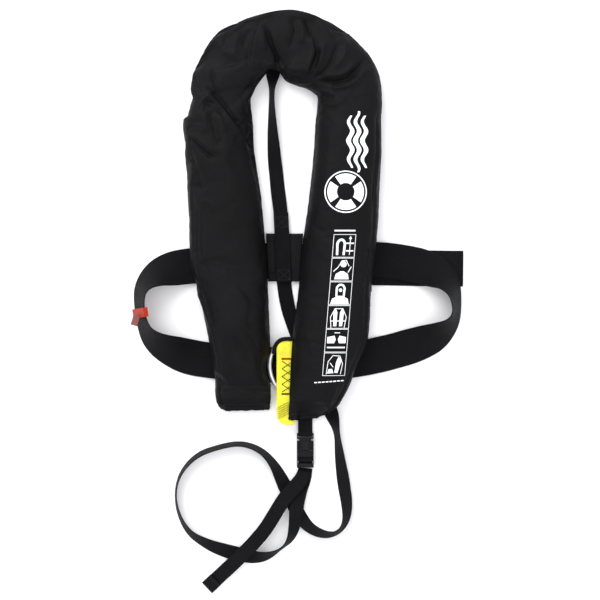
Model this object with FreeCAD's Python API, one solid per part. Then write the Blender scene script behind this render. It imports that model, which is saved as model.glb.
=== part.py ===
import FreeCAD, Part
import math
import os

# An inflatable life jacket lying on its back, front side up. Millimetres.
# +X is the wearer's left, +Y points to the neck, +Z up; z = 0 is the surface it lies on.
# Layers from below: strap root, waist belt, back panels, closure tapes, bladder, cover.

V = FreeCAD.Vector
os.makedirs("parts", exist_ok=True)

# ---------------------------------------------------------------- driving dimensions
COVER_WALL = 1.2
COVER_BASE = 4.8
SKIRT_TOP = 12.0
PANEL_TOP = 8.0
PANEL_INSET = 2.4
TAPE_WIDTH = 18.0
TAPE_THICK = 1.0
BLADDER_INSET = 3.4
BLADDER_BASE = 10.6
BLADDER_GAP = 3.4

WEB_THICK = 1.4
STRAP_WIDTH = 20.0
BELT_THICK = 1.6
BELT_WIDTH = 50.0
BELT_LIFT = 2.0
FLOOR_GAP = 0.2
CHANNEL_TOP = 4.0
ARC_SHARE = 0.45

RING_WIRE = 6.5
RING_HALF = 28.8
RING_REACH = 28.8
RING_AT = V(-10.0, -187.0, 7.25)

STROP_WIDTH = 27.0
STROP_THICK = 3.6
STROP_BASE = 13.2

BUCKLE_X = 11.0
BUCKLE_TOP = -282.0
BUCKLE_MOUTH = -306.0
BUCKLE_END = -330.0
BUCKLE_WIDTH = 23.4
BUCKLE_BASE = 0.5
BUCKLE_HEIGHT = 9.0

PLUG_BAR_FROM = 6.3
PLUG_BAR_TO = 19.1

KEEPER_HALF_LONG = 6.5
KEEPER_OUTSIDE = (27.4, 3.2)
KEEPER_INSIDE = (25.9, 1.7)

CYLINDER_AXIS = V(-88.0, -135.0, 25.5)
CYLINDER_RADIUS = 15.8
CYLINDER_LENGTH = 118.0
NECK_RADIUS = 7.5
INFLATOR_LONG = 45.0
INFLATOR_HALF = 18.0
SENSOR_RADIUS = 10.5
ORAL_AXIS = V(69.0, 5.0, 28.0)
ORAL_TUBE_LONG = 85.0

# The horseshoe: outer edge point, inner edge point and crown height of each cross-section,
# from the hem of the right-hand lobe of the wearer, round the neck, to the other hem.
SECTIONS = [
    ((-110, -251), (-38, -249), 17),
    ((-114, -233), (-37, -233), 34),
    ((-115, -205), (-37, -205), 46),
    ((-123, -152), (-38, -152), 51),
    ((-135, -96), (-40, -96), 52),
    ((-148, -40), (-43, -40), 52),
    ((-150, 44), (-50, 44), 52),
    ((-154, 114), (-60, 114), 50),
    ((-156, 150), (-62, 150), 48),
    ((-148, 181), (-65, 183), 46),
    ((-142, 220), (-61, 195), 44),
    ((-129, 244), (-55, 206), 43),
    ((-107, 278), (-47, 216), 42),
    ((-69, 294), (-40, 224), 42),
    ((-34, 302), (-33, 225), 42),
    ((-6, 306), (-26, 222), 42),
    ((26, 295), (-15, 209), 42),
    ((60, 279), (1, 202), 42),
    ((85, 258), (13, 198), 43),
    ((103, 236), (23, 192), 44),
    ((114, 209), (28, 186), 46),
    ((117, 149), (25, 149), 49),
    ((117, 114), (23, 114), 50),
    ((114, 44), (16, 44), 52),
    ((110, -12), (8, -12), 52),
    ((103, -75), (2, -75), 52),
    ((97, -152), (-7, -152), 50),
    ((83, -187), (-9, -187), 48),
    ((69, -222), (-11, -222), 42),
    ((51, -250), (-12, -250), 30),
    ((39, -260), (-13, -264), 17),
]
LEFT_LOBE = (0, 9)
NECK = (9, 20)
RIGHT_LOBE = (20, 30)

# Webbing routes: x, y of the middle line, roll of the section in degrees (0 lies flat,
# 90 stands on edge, positive lifts the edge to the left of travel), height of its lower edge.
STRAP_ROOT = [
    (-20, -57, 0, 0.2), (-17, -96, 0, 0.2), (-3, -138, 0, 0.2),
    (15, -183, 0, 0.2), (33, -222, 0, 0.2), (47, -251, 0, 0.2),
]
STRAP_MAIN = [
    (47, -251, 0, 0.2), (55, -278, 76, 0.2), (59, -314, 48, 0.2), (65, -354, 25, 0.2),
    (70, -386, 43, 0.2), (67, -408, 70, 0.2), (56, -422, 84, 0.2), (37, -424, 62, 0.2),
    (16, -414, 45, 0.2), (2, -397, 15, 0.2), (-9, -374, 4, 0.2), (-20, -351, 20, 0.2),
    (-33, -324, 58, 0.2), (-52, -304, 70, 0.2), (-80, -295, 74, 0.2), (-110, -301, 74, 0.2),
    (-139, -311, 72, 0.2), (-162, -334, 78, 0.2), (-171, -362, 84, 0.2), (-167, -393, 76, 0.2),
    (-152, -421, 63, 0.2), (-128, -436, 42, 0.2), (-103, -446, 14, 0.2), (-80, -452, 4, 0.2),
    (-58, -456, 28, 0.2), (-40, -453, 54, 0.2), (-22, -443, 84, 0.2), (-9, -430, 60, 3.0),
    (-3, -407, 28, 7.0), (-1, -383, 5, 6.0), (4, -360, 0, 3.5), (10, -345, 0, 0.6),
    (11, -331.2, 0, 0.3),
]
STRAP_TAIL = [
    (11, -334.2, 0, 2.3), (8, -343, 0, 6.0), (-3, -356, 0, 9.5), (-18, -372, 0, 12.0),
    (-30, -392, 0, 11.0), (-44, -415, 0, 10.0), (-62, -436, 0, 13.0), (-80, -454, 0, 12.5),
    (-96, -470, 0, 4.0), (-114, -487, 0, 0.4),
]
BELT_LEFT = [
    (-34, -187, 0, 2.0), (-75, -184, 0, 2.0), (-117, -181, 0, 2.0), (-147, -177, 0, 1.0),
    (-180, -166, -33, 0.3), (-202, -153, -52, 1.5), (-215, -133, -70, 3.6),
    (-221, -93, -70, 3.6), (-214, -72, -60, 1.5), (-195, -57, -38, 0.5),
    (-170, -51, -12, 1.2), (-148, -48, 0, 2.0), (-115, -45, 0, 2.0), (-52, -41, 0, 2.0),
    (8, -42, 0, 2.0), (26, -45, 0, 1.2), (44, -48, 0, 0.4), (118, -51, 0, 0.4),
    (232, -52, 0, 0.4),
]
BELT_RIGHT = [
    (73, -38, 0, 2.4), (92, -39, 0, 2.4), (120, -40, 0, 2.4), (152, -44, 0, 2.6),
    (181, -51, -8, 2.8), (201, -60, -30, 2.8), (213, -73, -52, 2.8), (220, -90, -68, 2.4),
    (222, -114, -74, 0.6), (215, -131, -64, 0.4), (195, -147, -36, 0.4), (170, -157, -15, 0.4),
    (137, -167, 0, 0.6), (109, -174, 0, 2.0), (70, -181, 0, 2.0), (33, -184, 0, 2.0),
]
BACK_STRAP = [
    (-34, 243, 0, 0.3), (-34, 223, 0, 0.3), (-35, 205, 64, 0.3), (-36, 185, 72, 0.3),
    (-35, 145, 50, 0.3), (-32, 102, 18, 0.3), (-28, 64, 0, 0.3), (-25.5, 43, 0, 2.0),
    (-23.4, 25.0, 0, 5.2),
]


# ---------------------------------------------------------------- small tools
def box(x0, x1, y0, y1, z0, z1):
    return Part.makeBox(x1 - x0, y1 - y0, z1 - z0, V(x0, y0, z0))


def rod(start, radius, length, axis):
    return Part.makeCylinder(radius, length, start, axis)


def tube(start, outer, inner, length, axis):
    return rod(start, outer, length, axis).cut(rod(start, inner, length, axis))


def slab(points, z0, z1):
    corners = [V(x, y, z0) for x, y in points]
    face = Part.Face(Part.makePolygon(corners + corners[:1]))
    return face.extrude(V(0, 0, z1 - z0))


def profile_x(points, x0, x1):
    corners = [V(x0, y, z) for y, z in points]
    face = Part.Face(Part.makePolygon(corners + corners[:1]))
    return face.extrude(V(x1 - x0, 0, 0))


def save(name, shape):
    solids = shape.Solids
    if not shape.isValid() or not solids:
        print("NOT VALID", name, len(solids))
    whole = solids[0] if len(solids) == 1 else Part.makeCompound(solids)
    whole.exportStep("parts/%s.step" % name)
    low = whole.BoundBox
    print("%-26s %d solid %9.0f mm3  z %.1f to %.1f" % (
        name, len(solids), whole.Volume, low.ZMin, low.ZMax))


# ---------------------------------------------------------------- webbing
def lerp(a, b, s):
    return a + (b - a) * s


def stations(route, share):
    """Points along straight runs joined by tangent arcs: place, direction, roll, lift."""
    pts = [V(x, y, 0) for x, y, _, _ in route]
    found = [(pts[0], (pts[1] - pts[0]).normalize(), route[0][2], route[0][3])]
    tightest = None
    for i in range(1, len(pts) - 1):
        before = pts[i] - pts[i - 1]
        after = pts[i + 1] - pts[i]
        turn = before.getAngle(after)
        reach = share * min(before.Length, after.Length)
        s_in = reach / before.Length
        s_out = reach / after.Length
        d_in = V(before).normalize()
        d_out = V(after).normalize()
        side = 1.0 if before.cross(after).z > 0 else -1.0
        normal = V(-d_in.y, d_in.x, 0) * side
        radius = reach / math.tan(max(turn, 1e-4) / 2)
        start = pts[i] - d_in * reach
        centre = start + normal * radius
        if tightest is None or radius < tightest:
            tightest = radius
        for part in (0.0, 0.5, 1.0):
            angle = turn * part
            spoke = normal * (-radius)
            spun = spoke * math.cos(angle) + d_in * (radius * math.sin(angle))
            heading = d_in * math.cos(angle) + normal * math.sin(angle)
            if part == 0.5:
                roll, lift = route[i][2], route[i][3]
            elif part == 0.0:
                roll = lerp(route[i][2], route[i - 1][2], s_in)
                lift = lerp(route[i][3], route[i - 1][3], s_in)
            else:
                roll = lerp(route[i][2], route[i + 1][2], s_out)
                lift = lerp(route[i][3], route[i + 1][3], s_out)
            found.append((centre + spun, heading, roll, lift))
    found.append((pts[-1], (pts[-1] - pts[-2]).normalize(), route[-1][2], route[-1][3]))
    return found, tightest


def ribbon(name, route, width, thick, share=ARC_SHARE):
    """A closed webbing solid along a route, its section turned by each point's roll."""
    found, tightest = stations(route, share)
    wires = []
    middles = []
    for place, heading, roll, lift in found:
        lean = math.radians(roll)
        left = V(-heading.y, heading.x, 0)
        across = left * math.cos(lean) + V(0, 0, math.sin(lean))
        face = heading.cross(across)
        height = lift + thick / 2 * math.cos(lean) + width / 2 * abs(math.sin(lean))
        middle = place + V(0, 0, height)
        a = across * (width / 2)
        n = face * (thick / 2)
        corners = [middle + a + n, middle - a + n, middle - a - n, middle + a - n]
        wires.append(Part.makePolygon(corners + corners[:1]))
        middles.append(middle)
    solid = Part.makeLoft(wires, True, True)
    length = sum((b - a).Length for a, b in zip(middles, middles[1:]))
    print("%-26s length %.0f, tightest arc %.0f, volume share %.3f" % (
        name, length, tightest, solid.Volume / (width * thick * length)))
    return solid


# ---------------------------------------------------------------- horseshoe forms
def edge_points(section, inset):
    outer, inner, _ = section
    o = V(outer[0], outer[1], 0)
    i = V(inner[0], inner[1], 0)
    along = (i - o).normalize()
    return o + along * inset, i - along * inset


def crown_wire(section, inset, base, skirt_top, drop):
    """A cross-section: flat underneath, upright skirts, half an ellipse on top."""
    o, i = edge_points(section, inset)
    rise = section[2] - skirt_top - drop
    half = (i - o).Length / 2
    across = (i - o).normalize()
    middle = (o + i) * 0.5 + V(0, 0, skirt_top)
    crown = [middle - across * half * math.cos(t) + V(0, 0, rise * math.sin(t))
             for t in [math.pi * k / 10 for k in range(11)]]
    corners = [o + V(0, 0, base)] + crown + [i + V(0, 0, base)]
    return Part.makePolygon(corners + corners[:1])


def crown_form(inset, base, skirt_top, drop, end_inset, span=None):
    first, last = span if span else (0, len(SECTIONS) - 1)
    picked = [list(s) for s in SECTIONS[first:last + 1]]
    for end, nearer in ((0, 1), (-1, -2)):
        if end_inset:
            shift = end_inset / abs(picked[end][0][1] - picked[nearer][0][1])
            picked[end] = [
                tuple(lerp(a, b, shift) for a, b in zip(picked[end][k], picked[nearer][k]))
                for k in (0, 1)
            ] + [lerp(picked[end][2], picked[nearer][2], shift)]
    wires = [crown_wire(s, inset, base, skirt_top, drop) for s in picked]
    return Part.makeLoft(wires, True, True)


def flat_form(span, inset, z0, z1, end_inset=0.0):
    first, last = span
    outer = []
    inner = []
    for s in SECTIONS[first:last + 1]:
        o, i = edge_points(s, inset)
        outer.append((o.x, o.y))
        inner.append((i.x, i.y))
    if end_inset and first == 0:
        outer[0] = (outer[0][0], outer[0][1] + end_inset)
        inner[0] = (inner[0][0], inner[0][1] + end_inset)
    if end_inset and last == len(SECTIONS) - 1:
        outer[-1] = (outer[-1][0], outer[-1][1] + end_inset)
        inner[-1] = (inner[-1][0], inner[-1][1] + end_inset)
    return slab(outer + inner[::-1], z0, z1)


def edge_strip(span, near, far, z0, z1):
    """A tape along the outer edge of one lobe, between two distances from that edge."""
    close = []
    away = []
    for s in SECTIONS[span[0]:span[1] + 1]:
        o = edge_points(s, near)[0]
        f = edge_points(s, far)[0]
        close.append((o.x, o.y))
        away.append((f.x, f.y))
    return slab(close + away[::-1], z0, z1)


# Pockets: where the strop lies under one lobe and the ring under the other, and the two
# hollows in the folded bladder that hold the inflator and the oral tube.
STROP_POCKET = box(-30, 9, -280, -148, -1, 18.4)
RING_POCKET = box(-47, -28, -222, -152, -1, 16.0)
INFLATOR_POCKET = box(-128, -28, -205, 4, 9, 60)
ORAL_POCKET = box(54, 86, -68, 140, 17, 60)


def make_cover():
    outer = crown_form(0.0, COVER_BASE, SKIRT_TOP, 0.0, 0.0)
    inner = crown_form(COVER_WALL, COVER_BASE - 2, SKIRT_TOP, COVER_WALL, COVER_WALL)
    save("cover_front", outer.cut(inner).cut(STROP_POCKET).cut(RING_POCKET))


def belt_channel(route, lo, hi, top):
    """A groove for a belt run, wider than the belt, cut upward from the underside."""
    pts = [V(x, y, 0) for x, y, _, _ in route[lo:hi + 1]]
    half = BELT_WIDTH / 2 + 1.0
    left = []
    right = []
    for k, p in enumerate(pts):
        ahead = pts[min(k + 1, len(pts) - 1)] - pts[max(k - 1, 0)]
        side = V(-ahead.y, ahead.x, 0).normalize() * half
        left.append(((p + side).x, (p + side).y))
        right.append(((p - side).x, (p - side).y))
    return slab(left + right[::-1], -1, top)


def strap_channel():
    pts = [V(x, y, 0) for x, y, _, _ in STRAP_ROOT]
    past_hem = pts[-1] + (pts[-1] - pts[-2]) * 0.6
    half = STRAP_WIDTH / 2 + 1.0
    left = []
    right = []
    for p, q in zip(pts + [past_hem], pts[1:] + [past_hem, past_hem * 2 - pts[-1]]):
        side = V(-(q - p).y, (q - p).x, 0).normalize() * half
        left.append(((p + side).x, (p + side).y))
        right.append(((p - side).x, (p - side).y))
    return slab(left + right[::-1], -1, CHANNEL_TOP)


# Webbing loops that hold the belt against the panels: x from and to, y from and to, thickness.
LOOPS = {
    "belt_loop_left_upper": (-104, -84, -78, -10, 1.5),
    "belt_loop_left_lower": (-94, -74, -216, -148, 1.5),
    "belt_loop_right_upper": (84, 104, -84, -6, 0.3),
    "belt_loop_right_lower": (52, 72, -215, -149, 1.5),
}
LOOP_RECESS = 1.6


def make_panels():
    left = flat_form(LEFT_LOBE, PANEL_INSET, 0, PANEL_TOP, 2.5)
    right = flat_form(RIGHT_LOBE, PANEL_INSET, 0, PANEL_TOP, 2.5)
    collar = flat_form(NECK, PANEL_INSET, 0, PANEL_TOP)
    left = left.cut(belt_channel(BELT_LEFT, 0, 3, CHANNEL_TOP))
    left = left.cut(belt_channel(BELT_LEFT, 11, 14, CHANNEL_TOP))
    left = left.cut(RING_POCKET)
    right = right.cut(belt_channel(BELT_LEFT, 13, 17, CHANNEL_TOP + 2))
    right = right.cut(belt_channel(BELT_RIGHT, 0, 3, CHANNEL_TOP + 2))
    right = right.cut(belt_channel(BELT_RIGHT, 12, 15, CHANNEL_TOP))
    right = right.cut(box(45.6, 71.8, -77.4, -11.6, -1, CHANNEL_TOP + 2))
    right = right.cut(box(-20, 46, -216, -158, -1, 6.4))
    right = right.cut(box(-0.4, 22.4, -285, -226, -1, 6.0))
    right = right.cut(strap_channel()).cut(STROP_POCKET)
    for x0, x1, y0, y1, _ in LOOPS.values():
        recess = box(x0 - 0.2, x1 + 0.2, y0 - 0.2, y1 + 0.2, -1, LOOP_RECESS)
        left = left.cut(recess)
        right = right.cut(recess)
    save("back_panel_left", left)
    save("back_panel_right", right)
    collar = collar.cut(box(-46, -22, 200, 246, -1, 4.6))
    save("collar_pad", collar)
    for name, (x0, x1, y0, y1, thick) in LOOPS.items():
        save(name, box(x0, x1, y0, y1, 0.0, thick))


def make_tapes():
    low = PANEL_TOP
    mid = low + TAPE_THICK
    top = mid + TAPE_THICK
    near = COVER_WALL + 0.6
    far = near + TAPE_WIDTH
    spans = ((1, 9), (21, 28))
    loops = [edge_strip(s, near, far, low, mid) for s in spans]
    hooks = [edge_strip(s, near, far, mid, top) for s in spans]
    save("closure_loop_tape", Part.makeCompound(loops))
    save("closure_hook_tape", Part.makeCompound(hooks))


def make_bladder():
    whole = crown_form(BLADDER_INSET, BLADDER_BASE, SKIRT_TOP + 2, BLADDER_GAP, 6.0)
    whole = whole.cut(INFLATOR_POCKET).cut(ORAL_POCKET).cut(STROP_POCKET).cut(RING_POCKET)
    whole = whole.cut(box(-130, -28, -260, -204, 9, 60))
    save("bladder", whole)
    skin = crown_form(BLADDER_INSET - 0.9, BLADDER_BASE, SKIRT_TOP + 2, BLADDER_GAP - 0.9, 6.0)
    core = crown_form(BLADDER_INSET - 0.4, BLADDER_BASE - 1, SKIRT_TOP + 2, BLADDER_GAP - 0.4, 5.0)
    shell = skin.cut(core)
    left = shell.common(box(-170, -40, 60, 110, 14, 60))
    right = shell.common(box(0, 130, 150, 190, 14, 60)).cut(ORAL_POCKET)
    save("reflective_tape", Part.makeCompound([left, right]))


# ---------------------------------------------------------------- harness
def make_harness():
    save("waist_belt", ribbon("waist_belt", BELT_LEFT, BELT_WIDTH, BELT_THICK, 0.3))
    save("front_strap_right", ribbon("front_strap_right", BELT_RIGHT, BELT_WIDTH, BELT_THICK, 0.3))
    save("back_strap", ribbon("back_strap", BACK_STRAP, STRAP_WIDTH, WEB_THICK))
    bridge_edge = [(-44, -3), (8, -3), (3, -70), (-41, -70)]
    save("back_belt_sleeve", slab(bridge_edge, 3.9, 4.7))
    doubled = slab([(-33.4, 23), (-12.6, 23), (-8, -71), (-29, -71)], 5.2, 8.0)
    save("back_strap_anchor", doubled)
    save("back_patch", slab([(-43, -14), (-33.6, -14), (-31, -58), (-41, -58)], 5.0, 6.2))
    adjuster = box(46, 71.4, -77, -12, 2.6, 5.2)
    for x0, x1 in ((49, 56), (60, 67.6)):
        adjuster = adjuster.cut(box(x0, x1, -71, -18, 2, 6))
    save("belt_adjuster", adjuster)


def ring_half(sign):
    """Half of the ring's wire: from the middle of the bar, round two corners, to the bow."""
    c = RING_AT
    corner = 7.0
    shoulder = 9.0
    bow = 48.0
    bow_x = c.x - RING_REACH + bow
    drop = RING_HALF - shoulder
    shoulder_x = bow_x - math.sqrt((bow - shoulder) ** 2 - drop ** 2)
    meet = math.atan2(drop, shoulder_x - bow_x)

    def at(x, y):
        return V(x, c.y + sign * y, c.z)

    def bend(x, y, radius, start, end):
        mid = (start + end) / 2
        spots = [at(x + radius * math.cos(t), y + radius * math.sin(t)) for t in (start, mid, end)]
        return Part.Arc(*spots).toShape(), spots[0], spots[2]

    quarter = math.pi / 2
    first, bar_end, side_start = bend(c.x - corner, RING_HALF - corner, corner, 0, quarter)
    second, side_end, _ = bend(shoulder_x, drop, shoulder, quarter, meet)
    third = bend(bow_x, 0, bow, meet, math.pi)[0]
    bar = Part.makeLine(at(c.x, 0), bar_end)
    side = Part.makeLine(side_start, side_end)
    path = Part.Wire([bar, first, side, second, third])
    circle = Part.Wire(Part.makeCircle(RING_WIRE / 2, at(c.x, 0), V(0, 1, 0)))
    return path.makePipeShell([circle], True, False)


def make_ring():
    c = RING_AT
    r = RING_WIRE / 2
    ring = ring_half(1).fuse(ring_half(-1))
    save("d_ring", ring.removeSplitter())

    inner = r + 0.4
    outer = inner + BELT_THICK
    wrap = tube(c - V(0, BELT_WIDTH / 2 - 0.5, 0), outer, inner, BELT_WIDTH - 1, V(0, 1, 0))
    wrap = wrap.cut(box(c.x - 20, c.x, c.y - 40, c.y + 40, -5, 30))
    y0 = c.y - BELT_WIDTH / 2 + 0.5
    y1 = c.y + BELT_WIDTH / 2 - 0.5
    bottom = box(-32.0, c.x, y0, y1, c.z - outer, c.z - inner)
    top_out = [V(x, y0, z) for x, z in (
        (c.x, c.z + inner), (c.x, c.z + outer), (c.x - 4.4, c.z + outer - 0.8), (-20, 5.4),
        (-23.6, 5.3), (-23.6, 3.7), (-19.2, 3.7), (c.x - 3.7, c.z + inner - 0.4))]
    top = Part.Face(Part.makePolygon(top_out + top_out[:1])).extrude(V(0, y1 - y0, 0))
    save("ring_loop", wrap.fuse(bottom).fuse(top).removeSplitter())

    hook = box(5, 31, -214, -160, 2.0, 4.4)
    hook = hook.cut(box(24, 27.6, -210, -164, 1, 6))
    hook = hook.fuse(box(2.6, 5, -200, -174, 2.0, 9.0)).fuse(box(-2.4, 5, -200, -174, 9.0, 11.2))
    save("belt_hook", hook.removeSplitter())


def make_strop():
    x0 = -29.0
    x1 = x0 + STROP_WIDTH
    outline = [(x0 + 3, -153), (x1 - 3, -151), (x1, -156), (x1, -262), (x1 - 5, -270),
               (x0 + 10, -270), (x0 + 2, -262), (x0, -250), (x0, -158)]
    save("lifting_strop", slab(outline, STROP_BASE, STROP_BASE + STROP_THICK))
    tack_z = STROP_BASE + STROP_THICK
    tacks = [box(x0 + 1, x1 - 1, y, y + 4, tack_z, tack_z + 0.5) for y in (-181, -230)]
    save("strop_bartacks", Part.makeCompound(tacks))


def make_keeper():
    """A moulded loop round the belt where the belt stands on edge beside the lobe."""
    start = V(*BELT_LEFT[6][:2], 0)
    end = V(*BELT_LEFT[7][:2], 0)
    heading = (end - start).normalize()
    middle = start + (end - start) * 0.48
    lean = math.radians(BELT_LEFT[6][2])
    left = V(-heading.y, heading.x, 0)
    across = left * math.cos(lean) + V(0, 0, math.sin(lean))
    face = heading.cross(across)
    rise = BELT_LEFT[6][3] + BELT_THICK / 2 * math.cos(lean) + BELT_WIDTH / 2 * abs(math.sin(lean))
    middle = middle + V(0, 0, rise)

    def ring_wire(half_wide, half_thick, at):
        centre = middle + heading * at
        a = across * half_wide
        n = face * half_thick
        corners = [centre + a + n, centre - a + n, centre - a - n, centre + a - n]
        return Part.makePolygon(corners + corners[:1])

    def block(size, half_long):
        ends = [ring_wire(*size, -half_long), ring_wire(*size, half_long)]
        return Part.makeLoft(ends, True, True)

    outer = block(KEEPER_OUTSIDE, KEEPER_HALF_LONG)
    inner = block(KEEPER_INSIDE, KEEPER_HALF_LONG + 2.5)
    save("belt_keeper", outer.cut(inner))
    print("keeper slides along %.4f %.4f" % (heading.x, heading.y))


# ---------------------------------------------------------------- crotch strap and its buckle
def make_crotch_strap():
    save("crotch_strap_root", ribbon("crotch_strap_root", STRAP_ROOT, STRAP_WIDTH, WEB_THICK))
    save("crotch_strap_main", ribbon("crotch_strap_main", STRAP_MAIN, STRAP_WIDTH, WEB_THICK))
    save("crotch_strap_tail", ribbon("crotch_strap_tail", STRAP_TAIL, STRAP_WIDTH, WEB_THICK))
    end = V(STRAP_TAIL[-1][0], STRAP_TAIL[-1][1], 0)
    before = V(STRAP_TAIL[-2][0], STRAP_TAIL[-2][1], 0)
    heading = (end - before).normalize()
    side = V(-heading.y, heading.x, 0) * (STRAP_WIDTH / 2 + 0.3)
    far = end + heading * 17
    tab = [(end + side), (far + side), (far - side), (end - side)]
    save("strap_end_tab", slab([(p.x, p.y) for p in tab], 0.3, 3.3))


def make_buckle():
    x0 = BUCKLE_X - BUCKLE_WIDTH / 2
    x1 = BUCKLE_X + BUCKLE_WIDTH / 2
    slot = STRAP_WIDTH / 2 + 0.4
    b = BUCKLE_BASE
    t = b + BUCKLE_HEIGHT
    top = BUCKLE_TOP
    mouth = BUCKLE_MOUTH
    waist = 3.6
    # Socket half: fixed bar for the tab, a waist, then the hollow body with side windows.
    socket = box(x0, x1, top - 8, top, b + 1.5, t - 1.5)
    socket = socket.cut(box(BUCKLE_X - slot, BUCKLE_X + slot, top - 6.6, top - 3, b, t))
    socket = socket.cut(box(BUCKLE_X - slot, BUCKLE_X + slot, top - 3.1, top + 1, b, b + 3.3))
    socket = socket.cut(box(BUCKLE_X - slot, BUCKLE_X + slot, top - 3.1, top + 1, t - 3.3, t))
    socket = socket.fuse(box(x0 + waist, x1 - waist, top - 11, top - 7.9, b + 1.5, t - 1.5))
    body = box(x0, x1, mouth, top - 10.5, b, t)
    body = body.cut(box(x0 + 1.6, x1 - 1.6, mouth - 1, top - 12, b + 1.5, t - 1.5))
    for side in (x0 - 1, x1 - 3):
        body = body.cut(box(side, side + 4, mouth + 3.4, mouth + 12, b + 1.0, t - 1.0))
    save("buckle_socket", socket.fuse(body).removeSplitter())

    # Tab: webbing folded round the socket's bar and sewn under the lobe.
    w0 = BUCKLE_X - STRAP_WIDTH / 2
    w1 = BUCKLE_X + STRAP_WIDTH / 2
    fold = [(-228, 2.2), (top - 5.0, 2.2), (top - 5.0, t - 1.9), (top + 1.4, t - 1.9),
            (top + 4.4, 4.6), (-228, 4.6), (-228, 3.5), (top + 3.8, 3.5), (top + 0.8, t - 3.1),
            (top - 3.6, t - 3.1), (top - 3.6, 3.3), (-228, 3.3)]
    save("buckle_tab", profile_x(fold, w0, w1))

    # Plug half: ladder with two slots, guide tongue and two side arms.
    m = BUCKLE_END
    z0 = b + 3.7
    z1 = t
    plug = box(x0, x1, m, mouth - 0.4, z0, z1)
    plug = plug.cut(box(BUCKLE_X - slot, BUCKLE_X + slot, m + 16.4, m + 19.4, 0, 20))
    plug = plug.cut(box(BUCKLE_X - slot, BUCKLE_X + slot, m + 6.0, m + 9.4, 0, 20))
    plug = plug.cut(box(BUCKLE_X - slot, BUCKLE_X + slot, m + 9.3, m + 16.5, 6.9, 20))
    tongue = box(BUCKLE_X - 2.2, BUCKLE_X + 2.2, mouth - 0.5, mouth + 10, b + 3.7, b + 6.4)
    save("buckle_plug", plug.fuse(tongue).removeSplitter())
    for name, sign in (("buckle_prong_left", -1), ("buckle_prong_right", 1)):
        arm = [(5.2, mouth - 0.1), (8.2, mouth - 0.1), (8.2, mouth + 4), (9.6, mouth + 6),
               (9.6, mouth + 10.4), (6.4, mouth + 12), (5.2, mouth + 8)]
        outline = [(BUCKLE_X + sign * x, y) for x, y in arm]
        save(name, slab(outline, b + 2.4, b + 6.9))

    # The strap's turn round the adjusting bar of the plug.
    low, high = 0.3, 1.7
    near = m + PLUG_BAR_FROM
    far = m + PLUG_BAR_TO
    wrap = [(m - 0.2, low), (far, low), (far, 8.5), (near, 8.5), (near, 3.7),
            (m - 0.2, 3.7), (m - 0.2, 2.3), (m + 7.7, 2.3), (m + 7.7, 7.1), (m + 17.7, 7.1),
            (m + 17.7, high), (m - 0.2, high)]
    save("crotch_strap_wrap", profile_x(wrap, w0, w1))


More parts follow.
